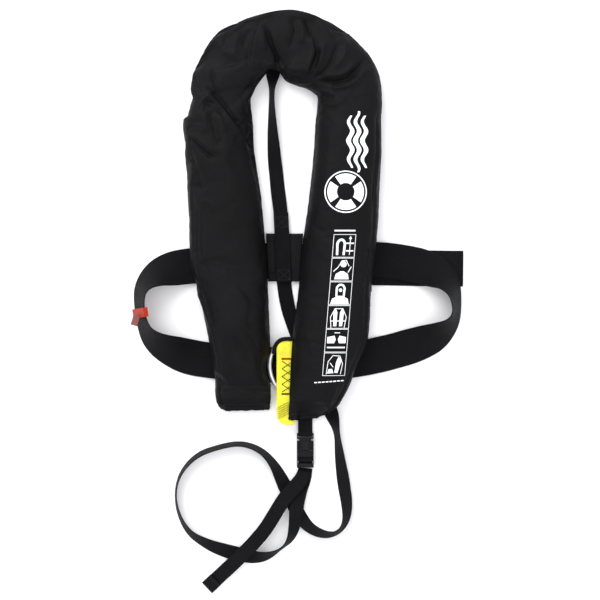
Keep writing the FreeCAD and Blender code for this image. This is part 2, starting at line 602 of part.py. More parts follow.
# ---------------------------------------------------------------- inflation system
def make_inflator():
    a = CYLINDER_AXIS
    along = V(0, 1, 0)
    shell = rod(a + V(0, 14, 0), CYLINDER_RADIUS, CYLINDER_LENGTH - 18, along)
    shell = shell.fuse(Part.makeCone(NECK_RADIUS, CYLINDER_RADIUS, 8, a + V(0, 6, 0), along))
    shell = shell.fuse(rod(a + V(0, 0.3, 0), NECK_RADIUS, 6, along))
    shell = shell.fuse(Part.makeCone(CYLINDER_RADIUS, 9, 8, a + V(0, CYLINDER_LENGTH - 4, 0), along))
    save("co2_cylinder", shell.removeSplitter())

    front = a.y - INFLATOR_LONG
    body = box(a.x - INFLATOR_HALF, a.x + INFLATOR_HALF, front, a.y, 14, 32)
    body = body.fuse(rod(V(a.x, front, a.z), 11, INFLATOR_LONG, along))
    body = body.fuse(box(a.x + 17, a.x + 27, front + 4, front + 16, 17, 21.6))
    body = body.fuse(box(a.x + 17, a.x + 27, front + 4, front + 16, 26.4, 31))
    body = body.cut(box(a.x + 18, a.x + 30, front, front + 40, 21.6, 26.4))
    body = body.cut(rod(V(a.x, a.y - 28, a.z), 4.5, 30, along))
    body = body.cut(rod(V(a.x + 23, front + 10, 10), 1.55, 30, V(0, 0, 1)))
    body = body.cut(rod(V(a.x - 12, front + 14, 10), 3.7, 30, V(0, 0, 1)))
    body = body.cut(rod(V(a.x - 12, front + 14, 32), 7.5, 20, V(0, 0, 1)))
    save("inflator_body", body.removeSplitter())

    save("lever_pin", rod(V(a.x + 23, front + 10, 17), 1.5, 14, V(0, 0, 1)))
    lever = box(a.x + 20, a.x + 26, front + 7, front + 26, 22, 26)
    lever = lever.cut(rod(V(a.x + 23, front + 10, 20), 1.56, 8, V(0, 0, 1)))
    save("firing_lever", lever)
    save("pull_bead", Part.makeSphere(3.9, V(a.x + 23, front + 29, 24)).cut(
        box(a.x, a.x + 60, front, front + 26.1, 10, 40)))
    pin = rod(V(a.x, a.y - 24, a.z), 2.0, 14, along)
    pin = pin.fuse(Part.makeCone(2.0, 0.3, 4, V(a.x, a.y - 10, a.z), along))
    pin = pin.fuse(rod(V(a.x, a.y - 24, a.z), 4.2, 2, along))
    save("piercing_pin", pin.removeSplitter())
    save("pin_spring", tube(V(a.x, a.y - 17.4, a.z), 3.9, 2.6, 10, along))

    cap = rod(V(a.x, front - 14, a.z), SENSOR_RADIUS, 13.6, along)
    for k in range(8):
        angle = math.radians(45 * k)
        spot = V(a.x + 11 * math.cos(angle), front - 14, a.z + 11 * math.sin(angle))
        cap = cap.cut(rod(spot, 1.4, 13.6, along))
    save("sensor_cap", cap)

    stem_at = V(a.x - 12, front + 14, 0)
    manifold = rod(stem_at + V(0, 0, 10.2), 13, 2.2, V(0, 0, 1))
    manifold = manifold.fuse(rod(stem_at + V(0, 0, 12), 3.4, 23.5, V(0, 0, 1)))
    save("manifold", manifold.removeSplitter())
    save("manifold_gasket", tube(stem_at + V(0, 0, 12.4), 8, 3.7, 1.6, V(0, 0, 1)))
    hexagon = [(stem_at.x + 6.5 * math.cos(math.radians(60 * k)),
                stem_at.y + 6.5 * math.sin(math.radians(60 * k))) for k in range(6)]
    nut = slab(hexagon, 32.0, 35.6).cut(rod(stem_at + V(0, 0, 30), 3.45, 10, V(0, 0, 1)))
    save("manifold_nut", nut)


def make_oral_tube():
    a = ORAL_AXIS
    along = V(0, 1, 0)
    foot = box(a.x - 12, a.x + 12, a.y - 14, a.y, 21, 35)
    save("oral_tube_foot", foot)
    save("oral_tube", tube(a, 5.5, 3.5, ORAL_TUBE_LONG, along))
    top = a + V(0, ORAL_TUBE_LONG, 0)
    house = tube(top, 7.5, 4.0, 22, along)
    house = house.cut(rod(top + V(0, 10, 0), 5.6, 20, along))
    save("oral_valve_housing", house)
    stem = rod(top + V(0, 3, 0), 2.2, 24, along)
    stem = stem.fuse(rod(top + V(0, 21, 0), 5.2, 2, along))
    save("oral_valve_stem", stem.removeSplitter())
    save("oral_valve_spring", tube(top + V(0, 10.2, 0), 4.6, 2.8, 7.4, along))
    cap = rod(top + V(0, 15, 0), 10, 22, along).cut(rod(top + V(0, 14, 0), 8, 19, along))
    save("oral_cap", cap)
    whistle = box(a.x - 8, a.x + 8, -58, -18, 22, 33)
    whistle = whistle.fuse(rod(V(a.x - 8, -50, 27.5), 7.5, 16, V(1, 0, 0)))
    whistle = whistle.cut(box(a.x - 6, a.x + 6, -60, -52, 24, 31))
    whistle = whistle.cut(box(a.x - 6, a.x + 6, -40, -34, 28, 40))
    save("whistle", whistle.removeSplitter())


make_cover()
make_panels()
make_tapes()
make_bladder()
make_harness()
make_ring()
make_strop()
make_keeper()
make_crotch_strap()
make_buckle()
make_inflator()
make_oral_tube()
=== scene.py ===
import bpy
import bmesh
import math
import numpy as np
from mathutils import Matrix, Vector, noise
from mathutils.bvhtree import BVHTree


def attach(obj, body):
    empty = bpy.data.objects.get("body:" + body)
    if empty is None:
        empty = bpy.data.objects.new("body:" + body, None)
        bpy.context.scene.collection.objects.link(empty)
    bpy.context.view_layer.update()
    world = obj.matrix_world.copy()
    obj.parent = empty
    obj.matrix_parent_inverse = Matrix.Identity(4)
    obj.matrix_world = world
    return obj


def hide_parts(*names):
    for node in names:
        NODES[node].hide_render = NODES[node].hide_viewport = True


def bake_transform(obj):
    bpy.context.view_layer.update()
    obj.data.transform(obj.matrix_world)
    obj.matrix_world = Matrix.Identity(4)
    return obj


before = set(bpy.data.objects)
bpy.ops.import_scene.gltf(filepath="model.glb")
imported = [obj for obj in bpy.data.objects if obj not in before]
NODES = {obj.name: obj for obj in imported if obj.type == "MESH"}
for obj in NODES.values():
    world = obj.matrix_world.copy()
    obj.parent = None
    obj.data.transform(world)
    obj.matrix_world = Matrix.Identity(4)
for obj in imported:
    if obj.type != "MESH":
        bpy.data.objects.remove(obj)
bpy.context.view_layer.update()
MM = 0.001
SCENE = bpy.context.scene
SCENE.view_settings.view_transform = "Standard"

# ------------------------------------------------------------------ camera
VIEW_X, VIEW_Y = 3.64 * MM, -95.9 * MM
VIEW_SPAN = 840 * MM
CAMERA_HEIGHT = 3.0
camera_data = bpy.data.cameras.new("camera")
camera_data.sensor_width = 36
camera_data.lens = 36 * CAMERA_HEIGHT / VIEW_SPAN
camera_data.clip_start = 0.05
camera_data.clip_end = 50
camera = bpy.data.objects.new("camera", camera_data)
camera.location = (VIEW_X, VIEW_Y, CAMERA_HEIGHT)
SCENE.collection.objects.link(camera)
SCENE.camera = camera

# ------------------------------------------------------------------ webbing routes, mm
# x, y of the middle line, roll of the section in degrees, height of its lower edge.
STRAP_ROOT = [
    (-20, -57, 0, 0.2), (-17, -96, 0, 0.2), (-3, -138, 0, 0.2),
    (15, -183, 0, 0.2), (33, -222, 0, 0.2), (47, -251, 0, 0.2),
]
STRAP_MAIN = [
    (47, -251, 0, 0.2), (55, -278, 76, 0.2), (59, -314, 48, 0.2), (65, -354, 25, 0.2),
    (70, -386, 43, 0.2), (67, -408, 70, 0.2), (56, -422, 84, 0.2), (37, -424, 62, 0.2),
    (16, -414, 45, 0.2), (2, -397, 15, 0.2), (-9, -374, 4, 0.2), (-20, -351, 20, 0.2),
    (-33, -324, 58, 0.2), (-52, -304, 70, 0.2), (-80, -295, 74, 0.2), (-110, -301, 74, 0.2),
    (-139, -311, 72, 0.2), (-162, -334, 78, 0.2), (-171, -362, 84, 0.2), (-167, -393, 76, 0.2),
    (-152, -421, 63, 0.2), (-128, -436, 42, 0.2), (-103, -446, 14, 0.2), (-80, -452, 4, 0.2),
    (-58, -456, 28, 0.2), (-40, -453, 54, 0.2), (-22, -443, 84, 0.2), (-9, -430, 60, 3.0),
    (-3, -407, 28, 7.0), (-1, -383, 5, 6.0), (4, -360, 0, 3.5), (10, -345, 0, 0.6),
    (11, -331.2, 0, 0.3),
]
STRAP_TAIL = [
    (11, -334.2, 0, 2.3), (8, -343, 0, 6.0), (-3, -356, 0, 9.5), (-18, -372, 0, 12.0),
    (-30, -392, 0, 11.0), (-44, -415, 0, 10.0), (-62, -436, 0, 13.0), (-80, -454, 0, 12.5),
    (-96, -470, 0, 4.0), (-114, -487, 0, 0.4),
]
BELT_LEFT = [
    (-34, -187, 0, 2.0), (-75, -184, 0, 2.0), (-117, -181, 0, 2.0), (-147, -177, 0, 1.0),
    (-180, -166, -33, 0.3), (-202, -153, -52, 1.5), (-215, -133, -70, 3.6),
    (-221, -93, -70, 3.6), (-214, -72, -60, 1.5), (-195, -57, -38, 0.5),
    (-170, -51, -12, 1.2), (-148, -48, 0, 2.0), (-115, -45, 0, 2.0), (-52, -41, 0, 2.0),
    (8, -42, 0, 2.0), (26, -45, 0, 1.2), (44, -48, 0, 0.4), (118, -51, 0, 0.4),
    (232, -52, 0, 0.4),
]
BELT_RIGHT = [
    (73, -38, 0, 2.4), (92, -39, 0, 2.4), (120, -40, 0, 2.4), (152, -44, 0, 2.6),
    (181, -51, -8, 2.8), (201, -60, -30, 2.8), (213, -73, -52, 2.8), (220, -90, -68, 2.4),
    (222, -114, -74, 0.6), (215, -131, -64, 0.4), (195, -147, -36, 0.4), (170, -157, -15, 0.4),
    (137, -167, 0, 0.6), (109, -174, 0, 2.0), (70, -181, 0, 2.0), (33, -184, 0, 2.0),
]
BACK_STRAP = [
    (-34, 243, 0, 0.3), (-34, 223, 0, 0.3), (-35, 205, 64, 0.3), (-36, 185, 72, 0.3),
    (-35, 145, 50, 0.3), (-32, 102, 18, 0.3), (-28, 64, 0, 0.3), (-25.5, 43, 0, 2.0),
    (-23.4, 25.0, 0, 5.2),
]
BELT_WIDTH, BELT_THICK = 50.0, 1.6
STRAP_WIDTH, STRAP_THICK = 20.0, 1.4


# ------------------------------------------------------------------ materials
class Look:
    """A procedural material: a Principled shader and the nodes that feed it."""

    def __init__(self, name, colour, rough, shine=0.5, **sockets):
        self.mat = bpy.data.materials.new(name)
        self.mat.use_nodes = True
        self.mat.diffuse_color = (*colour, 1)
        self.tree = self.mat.node_tree
        self.shader = self.tree.nodes["Principled BSDF"]
        self.shader.inputs["Base Color"].default_value = (*colour, 1)
        self.shader.inputs["Roughness"].default_value = rough
        self.shader.inputs["Specular IOR Level"].default_value = shine
        for key, value in sockets.items():
            self.shader.inputs[key.replace("_", " ")].default_value = value
        self.colour = colour
        self.height = None

    def node(self, kind, **inputs):
        made = self.tree.nodes.new("ShaderNode" + kind)
        for key, value in inputs.items():
            self.set(made, key, value)
        return made

    def set(self, made, key, value):
        place = made.inputs[int(key[1:])] if key[0] == "i" and key[1:].isdigit() else made.inputs[key]
        if isinstance(value, bpy.types.NodeSocket):
            self.tree.links.new(value, place)
        else:
            place.default_value = value

    def math(self, how, a, b=0.0, c=0.0):
        made = self.tree.nodes.new("ShaderNodeMath")
        made.operation = how
        for k, value in enumerate((a, b, c)):
            self.set(made, "i%d" % k, value)
        return made.outputs[0]

    def where(self, kind="Object"):
        return self.node("TexCoord").outputs[kind]

    def split(self, socket):
        parts = self.node("SeparateXYZ", i0=socket)
        return parts.outputs[0], parts.outputs[1], parts.outputs[2]

    def noise(self, place, scale, detail=3.0, rough=0.5):
        made = self.node("TexNoise", Vector=place, Scale=scale, Detail=detail, Roughness=rough)
        return made.outputs["Fac"]

    def waves(self, value, pitch):
        return self.math("SINE", self.math("MULTIPLY", value, math.tau / pitch))

    def spread(self, value, low, high, start=0.3, end=0.7):
        ends = {"From Min": start, "From Max": end, "To Min": low, "To Max": high}
        return self.node("MapRange", Value=value, **ends).outputs[0]

    def tint(self, share, low, high):
        """Base colour between two strengths of the material's own colour."""
        made = self.tree.nodes.new("ShaderNodeMix")
        made.data_type = "RGBA"
        self.set(made, "i0", share)
        for key, strength in (("i6", low), ("i7", high)):
            self.set(made, key, (*(min(1, c * strength) for c in self.colour), 1))
        self.feed("Base Color", made.outputs[2])

    def bump(self, height, strength, distance):
        made = self.node("Bump", Height=height, Strength=strength, Distance=distance)
        if self.height is not None:
            self.tree.links.new(self.height, made.inputs["Normal"])
        self.height = made.outputs[0]
        self.feed("Normal", self.height)

    def feed(self, key, socket):
        self.tree.links.new(socket, self.shader.inputs[key])


def woven_cloth(name, colour, rough, pitch, weave=0.35, crinkle=0.5, **sockets):
    """Plain-weave cloth: fine threads both ways, soft crinkles, uneven sheen."""
    look = Look(name, colour, rough, **sockets)
    place = look.where()
    x, y, z = look.split(place)
    along, across = (look.waves(look.math("MULTIPLY_ADD", z, 0.6, axis), pitch) for axis in (x, y))
    threads = look.math("MULTIPLY", along, across)
    soft = look.noise(place, 38, 6, 0.62)
    fine = look.noise(place, 160, 3, 0.6)
    look.bump(soft, crinkle, 0.006)
    look.bump(fine, 0.25 * crinkle, 0.0015)
    look.bump(threads, weave, 0.00012)
    patch = look.noise(place, 14, 4, 0.6)
    look.tint(look.spread(patch, 0, 1), 0.8, 1.3)
    look.feed("Roughness", look.spread(look.noise(place, 55, 4, 0.6), rough - 0.06, rough + 0.07))
    return look.mat


def webbing(name, colour, rough, pitch=0.0012, rows=0.0045, weave=0.55, edge=0.6, **sockets):
    """Strap webbing: chevron ribs by the strap's own length and width, with painted shade in the rib grooves
    and uneven wear.
    """
    look = Look(name, colour, rough, **sockets)
    u, v, _ = look.split(look.where("UV"))
    zig = look.math("PINGPONG", v, rows)
    ribs = look.waves(look.math("ADD", u, zig), pitch)
    cords = look.waves(v, rows * 0.5)
    wear = look.noise(look.where(), 45, 5, 0.65)
    look.bump(wear, 0.35, 0.0012)
    look.bump(cords, 0.12 * weave, 0.0003)
    look.bump(ribs, weave, 0.00035)
    # The base colour follows the ribs, painted shade in their grooves, and the wear noise, a real uneven
    # tone.
    rib_shade_and_wear = look.math("MULTIPLY_ADD", ribs, 0.18, look.spread(wear, 0.1, 0.9))
    look.tint(rib_shade_and_wear, edge, 1.35)
    look.feed("Roughness", look.spread(wear, rough - 0.06, rough + 0.08))
    return look.mat


def moulded(name, colour, rough, **sockets):
    """Moulded plastic: fine spark-eroded grain, faint flow marks and a lighter colour on sharp convex edges.
    """
    look = Look(name, colour, rough, **sockets)
    place = look.where()
    grain = look.noise(place, 2600, 2, 0.5)
    flow = look.noise(place, 60, 4, 0.6)
    look.bump(flow, 0.12, 0.0008)
    look.bump(grain, 0.22, 0.0001)
    # Colour made lighter on sharp convex edges, from the mesh's pointiness.
    lighter_on_edges = look.spread(look.node("NewGeometry").outputs["Pointiness"], 0, 1, 0.5, 0.62)
    look.tint(look.math("MULTIPLY_ADD", lighter_on_edges, 0.8, look.spread(flow, 0, 0.3)), 0.85, 1.7)
    look.feed("Roughness", look.spread(flow, rough - 0.07, rough + 0.08))
    return look.mat


def metal(name, colour, rough, stretch=(1, 1, 1), **sockets):
    """Bare metal: faint lengthwise polishing marks, scratches and a little tarnish."""
    look = Look(name, colour, rough, Metallic=1.0, **sockets)
    place = look.node("Mapping", Vector=look.where(), Scale=stretch).outputs[0]
    marks = look.noise(place, 900, 4, 0.7)
    stain = look.noise(look.where(), 70, 5, 0.65)
    look.bump(marks, 0.08, 0.0001)
    look.tint(look.spread(stain, 0, 1), 0.72, 1.08)
    look.feed("Roughness", look.spread(marks, rough - 0.04, rough + 0.12))
    return look.mat


def thread_look(name, colour):
    """Twisted sewing thread."""
    look = Look(name, colour, 0.6, shine=0.2)
    place = look.where()
    twist = look.node("TexWave", Vector=place, Scale=900, Distortion=1.5)
    look.bump(twist.outputs["Fac"], 0.4, 0.0001)
    look.tint(look.spread(look.noise(place, 220), 0, 1), 0.7, 1.25)
    return look.mat


def print_look():
    """Screen print with fine cracks."""
    look = Look("white_print", (0.86, 0.86, 0.87), 0.5, shine=0.3)
    place = look.where()
    cracks = look.noise(place, 420, 6, 0.75)
    look.bump(cracks, 0.25, 0.0002)
    look.tint(look.spread(cracks, 0, 1, 0.2, 0.5), 0.78, 1.02)
    return look.mat


def hook_and_loop(name):
    """Tufted hook-and-loop tape."""
    look = Look(name, (0.012, 0.012, 0.012), 0.85, Sheen_Weight=0.3)
    place = look.where()
    tufts = look.node("TexVoronoi", Vector=place, Scale=900).outputs["Distance"]
    look.bump(tufts, 0.9, 0.0006)
    look.tint(tufts, 0.6, 2.0)
    return look.mat


def reflective(name):
    """Silver tape: a fine honeycomb of cells."""
    look = Look(name, (0.62, 0.63, 0.64), 0.28, Metallic=0.7)
    cells = look.node("TexVoronoi", Vector=look.where(), Scale=420)
    cells.feature = "DISTANCE_TO_EDGE"
    edge = look.spread(cells.outputs["Distance"], 0, 1, 0.0, 0.08)
    look.bump(edge, 0.4, 0.0002)
    look.tint(edge, 0.7, 1.1)
    return look.mat


BLACK_CLOTH = (0.0036, 0.0036, 0.0040)
M = {
    "cover": woven_cloth("cover_nylon", BLACK_CLOTH, 0.54, 0.0007, 0.3, 0.16, shine=0.078),
    "lining": woven_cloth("lining_mesh", (0.008, 0.008, 0.0085), 0.8, 0.0026, 1.0, 0.25, shine=0.2),
    "binding": woven_cloth("edge_binding", (0.0045, 0.0045, 0.005), 0.66, 0.0012, 0.8, 0.2, shine=0.1),
    "belt": webbing("belt_webbing", (0.0036, 0.0035, 0.0041), 0.62, 0.0014, 0.0028, 0.6, shine=0.085),
    "strap": webbing("strap_webbing", (0.0042, 0.0041, 0.0048), 0.6, 0.0013, 0.0025, 0.6, shine=0.09),
    "yellow": webbing("strop_webbing", (0.72, 0.685, 0.034), 0.55, 0.0026, 0.0045, 0.75, 0.86,
                      shine=0.35, Sheen_Weight=0.15),
    "bladder": woven_cloth("bladder_cloth", (0.78, 0.62, 0.02), 0.42, 0.0006, 0.3, 0.5,
                           shine=0.45, Coat_Weight=0.15),
    "plastic": moulded("black_acetal", (0.0042, 0.0042, 0.0048), 0.36, shine=0.11),
    "red": moulded("red_plastic", (0.185, 0.014, 0.005), 0.5, shine=0.08),
    "flap": moulded("pale_red_plastic", (0.165, 0.062, 0.052), 0.55, shine=0.1),
    "white": moulded("white_plastic", (0.72, 0.72, 0.70), 0.42),
    "amber": moulded("yellow_plastic", (0.75, 0.5, 0.02), 0.42),
    "rubber": moulded("black_rubber", (0.02, 0.02, 0.02), 0.7, shine=0.3),
    "ring": metal("ring_steel", (0.92, 0.92, 0.93), 0.50),
    "steel": metal("polished_steel", (0.86, 0.86, 0.87), 0.34),
    "cylinder": metal("grey_cylinder", (0.36, 0.38, 0.36), 0.38, (1, 0.1, 1)),
    "brass": metal("brass", (0.62, 0.44, 0.16), 0.26),
    "print": print_look(),
    "hook": hook_and_loop("hook_and_loop"),
    "reflective": reflective("reflective_tape"),
    "thread": thread_look("black_thread", (0.022, 0.022, 0.024)),
    "red_thread": thread_look("red_thread", (0.40, 0.02, 0.012)),
    "dark_thread": thread_look("dark_thread", (0.030, 0.010, 0.004)),
    # Olive colour for thin lines that paint the shade in the strop's rib grooves.
    "painted_fold_shade": thread_look("painted_fold_shade", (0.30, 0.22, 0.008)),
}


# ------------------------------------------------------------------ mesh tools
def finish_piece(obj, look, body="jacket", replaces=()):
    obj.data.materials.clear()
    obj.data.materials.append(M[look])
    if body:
        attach(obj, body)
    if replaces:
        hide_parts(*replaces)
    return obj


def linked(name, data):
    obj = bpy.data.objects.new(name, data)
    SCENE.collection.objects.link(obj)
    return obj


def applied(obj):
    """Turns what an object's modifiers give into its own mesh."""
    made = bpy.data.meshes.new_from_object(obj.evaluated_get(bpy.context.evaluated_depsgraph_get()))
    obj.modifiers.clear()
    obj.data = made
    return made


def unit(rows):
    return rows / np.maximum(np.linalg.norm(rows, axis=-1, keepdims=True), 1e-9)


def distances(p):
    """How far along a line each of its points is."""
    return np.concatenate([[0], np.cumsum(np.linalg.norm(np.diff(p, axis=0), axis=1))])


def mesh_piece(name, verts, faces, uvs=None):
    mesh = bpy.data.meshes.new(name)
    mesh.from_pydata([tuple(v) for v in verts], [], faces)
    mesh.update()
    if uvs is not None:
        layer = mesh.uv_layers.new(name="UVMap")
        index = np.zeros(len(mesh.loops), int)
        mesh.loops.foreach_get("vertex_index", index)
        layer.data.foreach_set("uv", np.asarray(uvs, np.float32)[index].ravel())
    mesh.polygons.foreach_set("use_smooth", [True] * len(mesh.polygons))
    return linked(name, mesh)


def grid_faces(rows, columns):
    return [(r * columns + c, r * columns + c + 1, (r + 1) * columns + c + 1, (r + 1) * columns + c)
            for r in range(rows - 1) for c in range(columns - 1)]


def tube_faces(rings, count):
    """Faces of a tube made of rings, with both of its ends."""
    faces = [(k + j, k + (j + 1) % count, k + count + (j + 1) % count, k + count + j)
             for k in range(0, (rings - 1) * count, count) for j in range(count)]
    faces.append(tuple(range(count - 1, -1, -1)))
    faces.append(tuple((rings - 1) * count + j for j in range(count)))
    return faces


def closed_slab(name, upper, lower, rows, columns):
    """A sheet with a thickness, between two grids of points in mm."""
    top = len(upper)
    faces = grid_faces(rows, columns)
    faces += [tuple(top + v for v in f[::-1]) for f in faces]
    rim = (list(range(columns)) + [k * columns + columns - 1 for k in range(1, rows)]
           + [(rows - 1) * columns + k for k in range(columns - 2, -1, -1)]
           + [k * columns for k in range(rows - 2, 0, -1)])
    faces += [(i, top + i, top + j, j) for i, j in zip(rim, rim[1:] + rim[:1])]
    uvs = [(y * MM, x * MM + 0.2) for x, y, _ in upper]
    obj = mesh_piece(name, np.array(upper + lower) * MM, faces, uvs + uvs)
    work = bmesh.new()
    work.from_mesh(obj.data)
    bmesh.ops.recalc_face_normals(work, faces=work.faces)
    work.to_mesh(obj.data)
    work.free()
    return obj


def nurbs_points(points, per_point):
    """Points read from a NURBS spline that has these points as its control points."""
    data = bpy.data.curves.new("guide", "CURVE")
    data.dimensions = "3D"
    spline = data.splines.new("NURBS")
    spline.points.add(len(points) - 1)
    for spot, p in zip(spline.points, points):
        spot.co = (*p, 1)
    spline.order_u = 3
    spline.use_endpoint_u = True
    spline.resolution_u = per_point
    guide = linked("guide", data)
    mesh = bpy.data.meshes.new_from_object(guide)
    found = np.array([v.co[:] for v in mesh.vertices])
    bpy.data.objects.remove(guide)
    bpy.data.curves.remove(data)
    bpy.data.meshes.remove(mesh)
    return found


def route_line(route, width, thick, per_point=16):
    """Middle line and roll along a webbing route, kept clear of the floor."""
    spots = []
    rolls = []
    for x, y, roll, lift in route:
        lean = math.radians(roll)
        rise = lift + thick / 2 * math.cos(lean) + width / 2 * abs(math.sin(lean))
        spots.append((x * MM, y * MM, rise * MM))
        rolls.append((lean, 0, 0))
    line = nurbs_points(spots, per_point)
    lean = nurbs_points(rolls, per_point)[:, 0]
    least = (thick / 2 * np.cos(lean) + width / 2 * np.abs(np.sin(lean)) + 0.15) * MM
    line[:, 2] = np.maximum(line[:, 2], least)
    return line, lean


def section_axes(line, lean):
    ahead = np.gradient(line, axis=0)
    flat = unit(ahead * (1, 1, 0))
    left = np.stack([-flat[:, 1], flat[:, 0], np.zeros(len(flat))], 1)
    across = left * np.cos(lean)[:, None] + np.array([0, 0, 1.0]) * np.sin(lean)[:, None]
    return across, unit(np.cross(unit(ahead), across))


def webbing_piece(name, line, lean, width, thick, wave=0.25, seed=0.0, cup=0.0):
    """A woven strap with rounded edges along a line, and its length."""
    across, face = section_axes(line, lean)
    run = distances(line)
    share = np.array([-1, -0.97, -0.88, -0.6, -0.3, 0, 0.3, 0.6, 0.88, 0.97, 1.0])
    plump = np.array([0.25, 0.72, 1, 1, 1, 1, 1, 1, 1, 0.72, 0.25])
    loop = list(zip(share, plump)) + list(zip(share[::-1], -plump[::-1]))
    verts = []
    uvs = []
    for k in range(len(line)):
        sway = [wave * MM * noise.noise((run[k] * 45, seed, side)) for side in (3.1, 7.7)]
        for s, p in loop:
            grow = sway[0] if s < 0 else sway[1]
            offset = s * width / 2 * MM + grow * abs(s)
            lift = p * thick / 2 * MM + cup * MM * (1 - s * s)
            verts.append(line[k] + across[k] * offset + face[k] * lift)
            uvs.append((run[k], offset + 0.1))
    return mesh_piece(name, verts, tube_faces(len(line), len(loop)), uvs), run[-1]


def straight(name, x0, x1, y0, y1, z0, z1, cells=40):
    """A flat webbing strip filling a box, its length along y."""
    line = np.array([((x0 + x1) / 2, y, (z0 + z1) / 2) for y in np.linspace(y0, y1, cells)]) * MM
    return webbing_piece(name, line, np.zeros(cells), x1 - x0, z1 - z0)[0]


def thread_mesh(name, paths, radius, pitch, fill=0.78, sides=6):
    """Running stitches along paths: tapered beads of thread, partly sunk in the cloth."""
    verts = []
    faces = []
    for path, up in paths:
        p = np.asarray(path, float)
        run = distances(p)
        total = run[-1]
        number = max(1, int(total / pitch))
        for k in range(number):
            ends = ((k + 0.5 + half * fill) * total / number for half in (-0.5, 0.5))
            a, b = (np.array([np.interp(s, run, p[:, i]) for i in range(3)]) for s in ends)
            ahead = unit(b - a)
            side = unit(np.cross(ahead, up))
            top = np.cross(side, ahead)
            start = len(verts)
            for share, thick in ((0, 0.35), (0.15, 0.9), (0.5, 1.0), (0.85, 0.9), (1, 0.35)):
                middle = a + (b - a) * share + top * radius * (thick - 0.75)
                for j in range(sides):
                    t = math.tau * j / sides
                    verts.append(middle + (side * math.cos(t) + top * math.sin(t)) * radius * thick)
            faces += [tuple(start + v for v in f) for f in tube_faces(5, sides)]
    return mesh_piece(name, verts, faces)


def flat_path(points, height):
    return ([(x * MM, y * MM, height * MM) for x, y in points], (0, 0, 1))


def box_stitch(x0, x1, y0, y1, height):
    """The square and the diagonals sewn through a strap's end."""
    square = [(x0, y0), (x1, y0), (x1, y1), (x0, y1), (x0, y0)]
    lines = list(zip(square, square[1:])) + [((x0, y0), (x1, y1)), ((x0, y1), (x1, y0))]
    return [flat_path(line, height) for line in lines]


def zigzag(x0, x1, y0, y1, rows):
    return [((x0, x1)[k % 2], y0 + (y1 - y0) * k / rows) for k in range(rows + 1)]


# ------------------------------------------------------------------ cover of the horseshoe
# Outer edge point, inner edge point and crown height of each cross-section, mm.
SECTIONS = [
    ((-110, -251), (-38, -249), 17), ((-114, -233), (-37, -233), 34), ((-115, -205), (-37, -205), 46),
    ((-123, -152), (-38, -152), 51), ((-135, -96), (-40, -96), 52), ((-148, -40), (-43, -40), 52),
    ((-150, 44), (-50, 44), 52), ((-154, 114), (-60, 114), 50), ((-156, 150), (-62, 150), 48),
    ((-148, 181), (-65, 183), 46), ((-142, 220), (-61, 195), 44), ((-129, 244), (-55, 206), 43),
    ((-107, 278), (-47, 216), 42), ((-69, 294), (-40, 224), 42), ((-34, 302), (-33, 225), 42),
    ((-6, 306), (-26, 222), 42), ((26, 295), (-15, 209), 42), ((60, 279), (1, 202), 42),
    ((85, 258), (13, 198), 43), ((103, 236), (23, 192), 44), ((114, 209), (28, 186), 46),
    ((117, 149), (25, 149), 49), ((117, 114), (23, 114), 50), ((114, 44), (16, 44), 52),
    ((110, -12), (8, -12), 52), ((103, -75), (2, -75), 52), ((97, -152), (-7, -152), 50),
    ((83, -187), (-9, -187), 48), ((69, -222), (-11, -222), 42), ((51, -250), (-12, -250), 30),
    ((39, -260), (-13, -264), 17),
]
